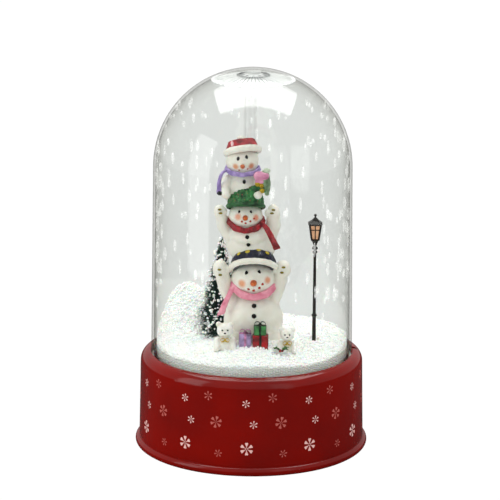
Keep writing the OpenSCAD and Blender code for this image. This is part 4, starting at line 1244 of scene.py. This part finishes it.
def build_stocking(axis):
    """Pink-cuffed green stocking with a white pompom, held by the top snowman, and its dark mitten."""
    mesh = bmesh.new()
    y = axis.y - 15
    limb(mesh, [(axis.x + 19, y, DECK + 168), (axis.x + 20.6, y, DECK + 160), (axis.x + 21, y, DECK + 152)],
         [4.0, 3.6, 2.0])
    mesh = fuse(mesh, 0.36, 2)
    ripple(mesh, 2, 0.25, 2)
    piece("stocking_leg", mesh, [brushed_paint("stocking_paint_green", "#8FA886", "#4F6B45", 0.5, 0.08)],
          ["stocking"])
    mesh = bmesh.new()
    limb(mesh, [(axis.x + 13.4, y - 1, DECK + 167.2), (axis.x + 19, y - 1, DECK + 167.2)], [3.9, 3.9], 0)
    limb(mesh, [(axis.x + 13, y - 1, DECK + 162.6), (axis.x + 18.6, y - 1, DECK + 163)], [2.2, 2.2], 0)
    ball(mesh, (axis.x + 20.6, y, DECK + 171.4), (3.2, 2.8, 2.4), 3, 1)
    ball(mesh, (axis.x - 18.4, axis.y - 13.4, DECK + 151.6), (2.7, 2.2, 1.9), 3, 2)
    piece("stocking_cuff", mesh, [
        brushed_paint("stocking_paint_pink", "#E9A3C0", "#C06A92", 0.5, 0.08),
        brushed_paint("pompom_paint", "#DCE3D2", "#B4C2A6", 0.4, 0.15, 0.5),
        black_dab(),
    ])


def ribbon_bow(mesh, centre, reach, width, paint):
    """Two loops and two tails."""
    centre = Vector(centre)
    for side in (-1, 1):
        loop = []
        for k in range(17):
            turn = TAU * k / 16
            loop.append(centre + Vector((
                side * reach * (0.5 - 0.5 * math.cos(turn)), 0, reach * 0.42 * math.sin(turn) + reach * 0.1,
            )))
        band(mesh, loop, [(0, 1, 0)] * 17, [width] * 17, [0.5] * 17, False, paint, 12)
        tail = smooth_path([centre, centre + Vector((side * reach * 0.5, -0.5, -0.6)),
                            centre + Vector((side * reach * 0.8, -1, -1.8))], 8)
        band(mesh, tail, [(0, 1, 0.2)] * 9, [width * 0.8] * 9, [0.45] * 9, False, paint, 12)
    ball(mesh, centre + Vector((0, 0, 0.4)), (width * 0.55, width * 0.6, 1), 3, paint)


def build_gifts():
    """Three wrapped boxes with ribbons and bows."""
    front, back = GIFT_LOW.y, GIFT_HIGH.y
    boxes = [
        ("gift_lavender", (-10.6, front + 1, DECK + 12), (-0.4, back, DECK + 35), "#B9A0D0", "#DB8FBC"),
        ("gift_red", (0.8, front, DECK + 12), (13.8, back, DECK + 34), "#C1232B", "#1E2A1E"),
        ("gift_green", (2, front + 1, DECK + 34.1), (12, back - 1, DECK + 42), "#4E9A55", "#17301C"),
    ]
    for name, low, high, wrap, ribbon in boxes:
        mesh = bmesh.new()
        rounded_box(mesh, low, high, 0.8, 0)
        mid_x, mid_y = (low[0] + high[0]) / 2, (low[1] + high[1]) / 2
        over = 0.35  # how far the ribbon stands out
        foot_z, top_z = low[2] + 0.2, high[2] + over
        rounded_box(mesh, (mid_x - 1, low[1] - over, foot_z), (mid_x + 1, high[1] + over, top_z), 0.25, 1)
        rounded_box(mesh, (low[0] - over, mid_y - 1, foot_z), (high[0] + over, mid_y + 1, top_z), 0.25, 1)
        if name != "gift_red":
            ribbon_bow(mesh, (mid_x, mid_y - 1, high[2] + 1.2), (high[0] - low[0]) * 0.46, 2.4, 1)
        paints = [
            brushed_paint(name + "_wrap", wrap, darker(wrap), 0.7, 0.04, 0.3),
            brushed_paint(name + "_ribbon", ribbon, darker(ribbon), 0.4, 0.05, 0.34),
        ]
        stands = ["gift_boxes"] if name == "gift_red" else []
        piece(name, mesh, paints, stands, crease=35)


def darker(hex_colour):
    """Shade of a wrapping in its folds."""
    return "#" + "".join(f"{int(int(hex_colour[k:k + 2], 16) * 0.55):02X}" for k in (1, 3, 5))


def build_bears():
    """Two small seated bears, one each side of the gifts."""
    for name, x, y, tall, stands in (
        ("bear_left", -22.6, -42, 1.0, ["bear_figures"]), ("bear_right", 30, -42, 0.86, []),
    ):
        base = Vector((x, y, DECK + 10))
        mesh = bmesh.new()
        ball(mesh, base + Vector((0, 0, 12)) * tall, (8.6 * tall, 7.6 * tall, 10 * tall), 4)
        head = base + Vector((0, -1.5, 27)) * tall
        ball(mesh, head, (7 * tall, 6.2 * tall, 6.4 * tall), 4)
        ball(mesh, head + Vector((0, -5.2, -1.4)) * tall, (2.9, 2.4, 2.3), 3)
        for side in (-1, 1):
            ball(mesh, head + Vector((side * 5.4, 0, 5.2)) * tall, (2.5, 1.6, 2.5), 3)
            for shoulder, paw, radii in (
                ((6.5, -2, 18), (7, -7, 12), (3.2, 2.8)), ((5, -4, 5), (7, -9.5, 4), (3.8, 3.3)),
            ):
                ends = [base + Vector((side * x_at, y_at, z_at)) * tall for x_at, y_at, z_at in (shoulder, paw)]
                limb(mesh, ends, [radius * tall for radius in radii])
        mesh = fuse(mesh, 0.5, 3)
        ripple(mesh, 1.3, 0.35, x)
        piece(name, mesh, [figure_resin("painted_resin_bear", (), "#F6F5F1")], stands)
        mesh = bmesh.new()
        for side in (-1, 1):
            ball(mesh, head + Vector((side * 2.3, -5.9, 1.4)) * tall, 0.7, 2, 0)
            ball(mesh, base + Vector((side * 7, -13, 4)) * tall, (1.5, 0.5, 1.5), 3, 1)
        ball(mesh, head + Vector((0, -7.6, -0.7)) * tall, (1.0, 0.6, 0.7), 2, 0)
        ribbon_bow(mesh, base + Vector((0, -7.4, 19.5)) * tall, 3.6, 1.6, 1)
        piece(name + "_details", mesh, [black_dab(), gold_paint()])


def build_holly():
    """Sprig of holly leaves with berries, lying on the snow."""
    low, high = corners("holly_sprig")
    centre = (low + high) / 2
    mesh = bmesh.new()
    for lean, length, lift in ((-32, 7.8, 0.4), (24, 8.6, 0.9), (160, 8.0, 0.6), (205, 7.0, 1.1)):
        turn = math.radians(lean)
        along = Vector((math.cos(turn), math.sin(turn) * 0.6, 0.35))
        aside = Vector((-math.sin(turn), math.cos(turn), 0))
        rows = []
        for k in range(13):
            share = k / 12
            spikes = 1 + 0.35 * math.cos(TAU * 3.5 * share)
            wide = 2.3 * math.sin(math.pi * min(1, share * 1.04)) * spikes
            mid = Vector((centre.x, centre.y, high.z - 2.2 + lift)) + along * length * share
            mid.z += 1.2 * math.sin(math.pi * share)
            wing = Vector((0, 0, 0.45 * abs(wide)))
            across = (mid - aside * wide + wing, mid, mid + aside * wide + wing)
            rows.append([mesh.verts.new(place) for place in across])
        for here, there in zip(rows, rows[1:]):
            mesh.faces.new((here[0], here[1], there[1], there[0]))
            mesh.faces.new((here[1], here[2], there[2], there[1]))
    bmesh.ops.solidify(mesh, geom=mesh.faces[:], thickness=0.45)
    for k in range(3):
        turn = TAU * k / 3
        spot = (centre.x + 1.3 * math.cos(turn), centre.y + 1.3 * math.sin(turn), high.z - 0.4)
        ball(mesh, spot, 1.1, 3, 1)
    piece("holly_leaves", mesh, [
        brushed_paint("holly_paint", "#4F8F45", "#1E4A20", 0.5, 0.06, 0.34),
        enamel("enamel_berry", "#B32026", "#7C1218"),
    ], ["holly_sprig"])


def tree_reach(height):
    """Length of the bristles at a share of the tree's height: five tiers, narrower upwards."""
    tiers = 5
    within = (height * tiers) % 1.0
    return (1.05 - height) * 28.5 * (1.0 - 0.32 * within) + 0.8


def build_tree():
    """Bottle-brush tree: fine bristles twisted in wire, tips flocked white, on a turned foot."""
    rng = np.random.default_rng(8)
    foot = DECK + 16
    tall = TREE_TIP - foot - 1
    root = Vector((TREE.x, TREE.y, foot))
    points, faces, tips = [], [], []
    for k in range(sizes().bristles):
        share = 1 - math.sqrt(rng.random())
        if rng.random() < 0.2:
            share = rng.random()
        turn = k * GOLDEN_TURN + rng.normal(0, 0.15)
        reach = tree_reach(share) * rng.uniform(0.72, 1.03)
        rise = rng.normal(0.12, 0.16)
        out = Vector((math.cos(turn), math.sin(turn), rise)).normalized()
        side = Vector((-math.sin(turn), math.cos(turn), 0))
        start = root + Vector((0, 0, tall * share))
        end = start + out * reach + Vector((0, 0, -0.004 * reach * reach))
        # Bristles that would pierce the bottom snowman are bent short
        away = math.hypot(end.x - BOTTOM_AXIS.x, end.y - BOTTOM_AXIS.y)
        if away < 25 and end.z < DECK + 100:
            end = start + out * reach * 0.45
        first = len(points)
        thick = 0.34
        middle_at = (start + end) / 2 + Vector((0, 0, 0.3))
        for at, wide in ((start, thick), (middle_at, thick * 0.9)):
            points += [at + side * wide, at + Vector((0, 0, wide)), at - side * wide]
        points.append(end)
        a, b, c, d, e, f, g = range(first, first + 7)
        faces += [(a, b, e, d), (b, c, f, e), (c, a, d, f), (a, c, b), (d, e, g), (e, f, g), (f, d, g)]
        if rng.random() < sizes().flocking:
            tips.append(end)
    data = bpy.data.meshes.new("tree_bristles")
    data.from_pydata(points, [], faces)
    place_piece("tree_bristles", data, [bristle()], ["tree_foliage"], "base", 180)
    radii = rng.uniform(0.4, 1.5, (len(tips), 3))
    swarm("tree_flocking", tips, radii, foam_bead())

    mesh = bmesh.new()
    for strand in range(2):
        path = []
        for k in range(121):
            turn = TAU * 14 * k / 120 + math.pi * strand
            rise = -3 + (tall + 3) * k / 120
            path.append(root + Vector((0.5 * math.cos(turn), 0.5 * math.sin(turn), rise)))
        band(mesh, path, [(1, 0, 0)] * 121, [0.95] * 121, [0.95] * 121, False, 0, 8)
    turned_foot = [(0, DECK + 0.5), (3.6, DECK + 0.5), (3.6, DECK + 11), *arc(2.6, DECK + 12, 1, 0, 90, 4),
                   (0, DECK + 13)]
    lathe(mesh, turned_foot, (TREE.x, TREE.y), 40, paint=1)
    piece("tree_wire", mesh, [twisted_wire(), turned_pine()], ["tree_trunk"])


def build_lamp():
    """Lamp post with turned collars and a four-sided lantern that widens upwards."""
    x, y = ((LANTERN_LOW + LANTERN_HIGH) / 2).xy
    seat = LANTERN_LOW.z
    mesh = bmesh.new()
    outline = [
        (0, DECK + 0.5), (4.6, DECK + 0.5), (4.6, DECK + 11), *arc(3.4, DECK + 12.4, 1.2, 0, 90, 5),
        (2.3, DECK + 15), *arc(2.2, DECK + 17, 1.0, -60, 60, 6), (1.7, DECK + 19.5),
        (1.55, DECK + 40), *arc(1.5, DECK + 42, 0.9, -70, 70, 6), (1.4, DECK + 44),
        (1.25, DECK + 80), (1.15, seat - 12), *arc(1.1, seat - 10.6, 1.0, -70, 70, 6),
        (1.1, seat - 8.6), *arc(1.1, seat - 7.2, 1.3, -70, 70, 6),
        (1.1, seat - 5.4), (2.1, seat - 2.4), (3.1, seat - 0.2), (0, seat - 0.2),
    ]
    lathe(mesh, outline, (x, y), 48)
    piece("lamp_column", mesh, [black_enamel()], ["lamp_post"], crease=40)

    low_half, high_half, tall = 3.0, 4.7, 12.6
    hub = Vector((x, y, seat))
    rise = Vector((0, 0, tall + 1))
    mesh = bmesh.new()
    rounded_box(mesh, (x - 3.7, y - 3.7, seat), (x + 3.7, y + 3.7, seat + 1.3), 0.3)
    rounded_box(mesh, (x - 5.3, y - 5.3, seat + tall + 0.6), (x + 5.3, y + 5.3, seat + tall + 1.7), 0.3)
    for turn in range(4):
        a, b = (Vector((math.cos(t), math.sin(t), 0)) * math.sqrt(2)
                for t in (math.radians(45 + 90 * turn), math.radians(135 + 90 * turn)))
        low_a, high_a = hub + a * low_half, hub + a * high_half
        low_b, high_b = hub + b * low_half, hub + b * high_half
        rod(mesh, low_a + Vector((0, 0, 1)), high_a + rise, 0.85, 0.85, 0, 8)
        rod(mesh, (low_a + low_b) / 2 + Vector((0, 0, 1)), (high_a + high_b) / 2 + rise, 0.5, 0.5, 0, 6)
        mid_a = low_a.lerp(high_a, 0.66) + rise * 0.66 + Vector((0, 0, 0.4))
        mid_b = low_b.lerp(high_b, 0.66) + rise * 0.66 + Vector((0, 0, 0.4))
        rod(mesh, mid_a, mid_b, 0.45, 0.45, 0, 6)
    roof = seat + tall + 1.6
    for size_1, size_2, low_z, high_z in ((8.6, 4.4, 0, 2.6), (4.4, 1.4, 2.6, 5.2)):
        place = Matrix.Translation((x, y, roof + (low_z + high_z) / 2))
        bmesh.ops.create_cone(
            mesh, cap_ends=True, segments=4, radius1=size_1, radius2=size_2, depth=high_z - low_z,
            matrix=place @ Matrix.Rotation(math.pi / 4, 4, "Z"),
        )
    knob = [(0, roof + 5), (1.0, roof + 5), (0.6, roof + 6), *arc(0, roof + 7.4, 1.2, -60, 90, 8)]
    lathe(mesh, knob, (x, y), 24)
    piece("lantern_cage", mesh, [black_enamel()], ["lantern_frame"], crease=30)

    mesh = bmesh.new()
    rings = []
    for height, half in ((seat + 1.3, low_half - 0.15), (seat + tall + 0.6, high_half - 0.15)):
        for inset in (0.0, 0.5):
            rings.append([
                mesh.verts.new((x + sx * (half - inset), y + sy * (half - inset), height))
                for sx, sy in ((-1, -1), (1, -1), (1, 1), (-1, 1))
            ])
    for k in range(4):
        j = (k + 1) % 4
        mesh.faces.new((rings[0][k], rings[0][j], rings[2][j], rings[2][k]))
        mesh.faces.new((rings[1][k], rings[3][k], rings[3][j], rings[1][j]))
        mesh.faces.new((rings[0][k], rings[1][k], rings[1][j], rings[0][j]))
        mesh.faces.new((rings[2][k], rings[2][j], rings[3][j], rings[3][k]))
    piece("lantern_glass", mesh, [lit_pane()], ["lantern_panes"], crease=30)
    mesh = bmesh.new()
    lathe(mesh, [
        (0, seat + 1.4), (1.9, seat + 1.4), (1.9, seat + 2.4), (1.5, seat + 2.5), (1.5, seat + 6.6),
        *arc(0, seat + 6.6, 1.5, 0, 90, 6),
    ], (x, y), 32)
    piece("lamp_lens", mesh, [lamp_lens()], ["lamp_led"])


def build_mechanism():
    """Finishes of what is under the tray, and of the tray itself."""
    dress(["snow_tray"], milky_polypropylene())
    dress(["dome_seal"], silicone())
    dress(["blower_upper_housing", "blower_lower_housing"], housing_grey())
    dress(["blower_screws", "motor_screws"], zinc_steel())
    dress(["impeller"], nylon())
    dress(["motor_shaft"], polished_steel())
    dress(["motor"], motor_can())
    dress(["motor_end_cap", "battery_box", "switch_body", "switch_knob", "dc_inlet"], black_plastic())
    dress(["batteries"], cell_sleeve())
    dress(["battery_contacts", "battery_springs", "dc_contact"], nickel())
    dress(["speaker_basket"], painted_steel())
    dress(["speaker_cone"], cone_paper())
    dress(["circuit_board"], solder_mask())
    dress(["board_components"], component_epoxy())
    dress(["wiring"], pvc_insulation())
    dress(["resin_ground"], figure_resin("painted_resin_ground"))


# Stage


def soft_light(name, place, target, width, height, watts):
    """Rectangular white studio light, aimed at a point. Places are in metres."""
    lamp = bpy.data.lights.new(name, "AREA")
    lamp.shape = "RECTANGLE"
    lamp.size = width
    lamp.size_y = height
    lamp.energy = watts
    obj = bpy.data.objects.new(name, lamp)
    obj.location = place
    obj.rotation_euler = (Vector(target) - Vector(place)).to_track_quat("-Z", "Y").to_euler()
    obj.visible_camera = False
    bpy.context.scene.collection.objects.link(obj)


TABLE_GAP = 0.0002  # metres, so that the feet and the table don't share a plane


def build_studio():
    """White table, even white surroundings, soft boxes and the camera."""
    scene = bpy.context.scene
    scene.view_settings.view_transform = "Standard"
    mesh = bmesh.new()
    bmesh.ops.create_grid(mesh, x_segments=1, y_segments=1, size=sizes().floor_half)
    data = bpy.data.meshes.new("table_top")
    mesh.to_mesh(data)
    mesh.free()
    data.materials.append(white_paper())
    table = bpy.data.objects.new("table_top", data)
    table.location = (0, 0, CAD_BOX[0][2] - TABLE_GAP)
    scene.collection.objects.link(table)

    world = bpy.data.worlds.new("white_room")
    world.use_nodes = True
    tree = world.node_tree
    gloss = node(tree, "LightPath").outputs["Is Glossy Ray"]
    strength = node(tree, "MapRange", {"Value": gloss, "To Min": 1.0, "To Max": 0.5})
    tree.nodes["Background"].inputs["Color"].default_value = linear("#FFFFFF")
    tree.links.new(strength.outputs["Result"], tree.nodes["Background"].inputs["Strength"])
    scene.world = world
    # A ray through the dome, tube, deflector and flying beads crosses more clear surfaces than usual
    scene.cycles.transparent_max_bounces = 32

    soft_light("overhead_box", (0.05, 0.37, 1.33), (0.05, 0.37, 0), 1.4, 1.0, 24)
    soft_light("left_box", (-0.62, -0.33, 0.35), (0, 0, 0.25), 0.35, 0.7, 1.6)
    soft_light("right_box", (0.35, -0.6, 0.35), (0, 0, 0.25), 0.25, 0.6, 0.25)

    # The camera looks slightly down on the front from two metres away
    camera = bpy.data.cameras.new("camera")
    camera.lens = 189.09
    camera.sensor_width = 36
    camera.clip_end = 20
    view = bpy.data.objects.new("camera", camera)
    pitch, roll = math.radians(90 - 13.984), math.radians(0.38)
    view.matrix_world = (
        Matrix.Translation((-0.00195, -2.1834, 0.7159))
        @ Matrix.Rotation(pitch, 4, "X") @ Matrix.Rotation(roll, 4, "Z")
    )
    scene.collection.objects.link(view)
    scene.camera = view


# Panel settings


def colour_setting(name, text, hex_colour):
    return FloatVectorProperty(name=name, description=text, subtype="COLOR", size=3, min=0, max=1,
                               default=linear(hex_colour)[:3])


def length_setting(name, text, millimetres):
    return FloatProperty(name=name, description=text, default=millimetres * MM, unit="LENGTH", precision=4)


class GlobeColours(PropertyGroup):
    shell: colour_setting("Shell red", "Colour of the lacquered base", "#740802")
    dome: colour_setting("Dome tint", "What the dome lets through, seen square on", "#F8F9F8")
    snow: colour_setting("Snow", "Colour of the foam beads", "#FBFCFB")
    tree: colour_setting("Tree green", "Colour of the bristles", "#15503F")


class GlobeSizes(PropertyGroup):
    flare: length_setting("Flare", "How much the wall widens downwards", 1.4)
    shoulder: length_setting("Shoulder", "Radius of the rim's rounded shoulder", 8.9)
    bead: length_setting("Bead", "Size of a foam bead", 2.4)
    extra_beads: IntProperty(name="Loose beads", description="Beads lying on the snow", default=1700, min=0)
    streaks: IntProperty(name="Flying beads", description="Beads in flight in the dome", default=230, min=0)
    flutes: IntProperty(name="Flutes", description="Flutes of the deflector", default=40, min=8)
    repeats: IntProperty(name="Repeats", description="Snowflake groups round the wall", default=11, min=1)
    bristles: IntProperty(name="Bristles", description="Bristles of the tree", default=9000, min=100)
    flocking: FloatProperty(name="Flocking", description="Share of white tips", default=0.075,
                            min=0, max=1, subtype="FACTOR")
    floor_half: FloatProperty(name="Table", description="Half the table's side", default=3.0, unit="LENGTH")


class GLOBE_OT_dome(Operator):
    """Clear dome and riser tube"""
    bl_idname = "globe.dome"
    bl_label = "Dome and riser tube"

    def execute(self, context):
        build_dome()
        return {"FINISHED"}


class GLOBE_OT_deflector(Operator):
    """Fluted disc under the top of the dome"""
    bl_idname = "globe.deflector"
    bl_label = "Deflector"

    def execute(self, context):
        build_deflector()
        return {"FINISHED"}


class GLOBE_OT_base(Operator):
    """Red base shell, bottom cover, battery door, feet and screws"""
    bl_idname = "globe.base"
    bl_label = "Base"

    def execute(self, context):
        build_base()
        return {"FINISHED"}


class GLOBE_OT_print(Operator):
    """Snowflakes printed round the wall"""
    bl_idname = "globe.print"
    bl_label = "Snowflake print"

    def execute(self, context):
        build_print()
        return {"FINISHED"}


class GLOBE_OT_mechanism(Operator):
    """Tray, seal, blower, motor, batteries, speaker and electronics"""
    bl_idname = "globe.mechanism"
    bl_label = "Tray and mechanism"

    def execute(self, context):
        build_mechanism()
        return {"FINISHED"}


class GLOBE_OT_snow(Operator):
    """Loose foam snow on the tray"""
    bl_idname = "globe.snow"
    bl_label = "Snow bed"

    def execute(self, context):
        build_snow()
        return {"FINISHED"}


class GLOBE_OT_flying_snow(Operator):
    """Beads blown about in the dome"""
    bl_idname = "globe.flying_snow"
    bl_label = "Flying snow"

    def execute(self, context):
        build_flying_snow()
        return {"FINISHED"}


class GLOBE_OT_bottom_snowman(Operator):
    """Bottom snowman with its dotted hat and pink scarf"""
    bl_idname = "globe.bottom_snowman"
    bl_label = "Bottom snowman"

    def execute(self, context):
        build_bottom_snowman()
        return {"FINISHED"}


class GLOBE_OT_middle_snowman(Operator):
    """Middle snowman with its knitted cap and red scarf"""
    bl_idname = "globe.middle_snowman"
    bl_label = "Middle snowman"

    def execute(self, context):
        build_middle_snowman()
        return {"FINISHED"}


class GLOBE_OT_top_snowman(Operator):
    """Top snowman with its red hat, lavender scarf and stocking"""
    bl_idname = "globe.top_snowman"
    bl_label = "Top snowman"

    def execute(self, context):
        build_top_snowman()
        return {"FINISHED"}


class GLOBE_OT_gifts(Operator):
    """Wrapped gifts, bears and holly at the snowmen's feet"""
    bl_idname = "globe.gifts"
    bl_label = "Gifts, bears and holly"

    def execute(self, context):
        build_gifts()
        build_bears()
        build_holly()
        return {"FINISHED"}


class GLOBE_OT_tree(Operator):
    """Bottle-brush tree"""
    bl_idname = "globe.tree"
    bl_label = "Tree"

    def execute(self, context):
        build_tree()
        return {"FINISHED"}


class GLOBE_OT_lamp(Operator):
    """Lamp post with its lantern"""
    bl_idname = "globe.lamp"
    bl_label = "Lamp post"

    def execute(self, context):
        build_lamp()
        return {"FINISHED"}


class GLOBE_OT_studio(Operator):
    """Table, lights and camera"""
    bl_idname = "globe.studio"
    bl_label = "Stage"

    def execute(self, context):
        build_studio()
        return {"FINISHED"}


STEPS = (
    GLOBE_OT_dome, GLOBE_OT_deflector, GLOBE_OT_base, GLOBE_OT_print, GLOBE_OT_mechanism, GLOBE_OT_snow,
    GLOBE_OT_flying_snow, GLOBE_OT_bottom_snowman, GLOBE_OT_middle_snowman, GLOBE_OT_top_snowman,
    GLOBE_OT_gifts, GLOBE_OT_tree, GLOBE_OT_lamp, GLOBE_OT_studio,
)


class GLOBE_PT_panel(Panel):
    """Lists the globe's settings and its building steps"""
    bl_idname = "GLOBE_PT_panel"
    bl_label = "Snow Globe"
    bl_space_type = "VIEW_3D"
    bl_region_type = "UI"
    bl_category = "Snow Globe"

    def draw(self, context):
        for group in (context.scene.globe_colours, context.scene.globe_sizes):
            for setting in group.__annotations__:
                self.layout.prop(group, setting)
        for step in STEPS:
            self.layout.operator(step.bl_idname)


CLASSES = (GlobeColours, GlobeSizes, *STEPS, GLOBE_PT_panel)


def register():
    for cls in CLASSES:
        bpy.utils.register_class(cls)
    bpy.types.Scene.globe_colours = PointerProperty(type=GlobeColours)
    bpy.types.Scene.globe_sizes = PointerProperty(type=GlobeSizes)


def unregister():
    del bpy.types.Scene.globe_sizes
    del bpy.types.Scene.globe_colours
    for cls in reversed(CLASSES):
        bpy.utils.unregister_class(cls)


def main():
    register()
    bpy.ops.globe.dome()
    bpy.ops.globe.deflector()
    bpy.ops.globe.base()
    bpy.ops.globe.print()
    bpy.ops.globe.mechanism()
    bpy.ops.globe.snow()
    bpy.ops.globe.flying_snow()
    bpy.ops.globe.bottom_snowman()
    bpy.ops.globe.middle_snowman()
    bpy.ops.globe.top_snowman()
    bpy.ops.globe.gifts()
    bpy.ops.globe.tree()
    bpy.ops.globe.lamp()
    bpy.ops.globe.studio()


if __name__ == "__main__":
    main()
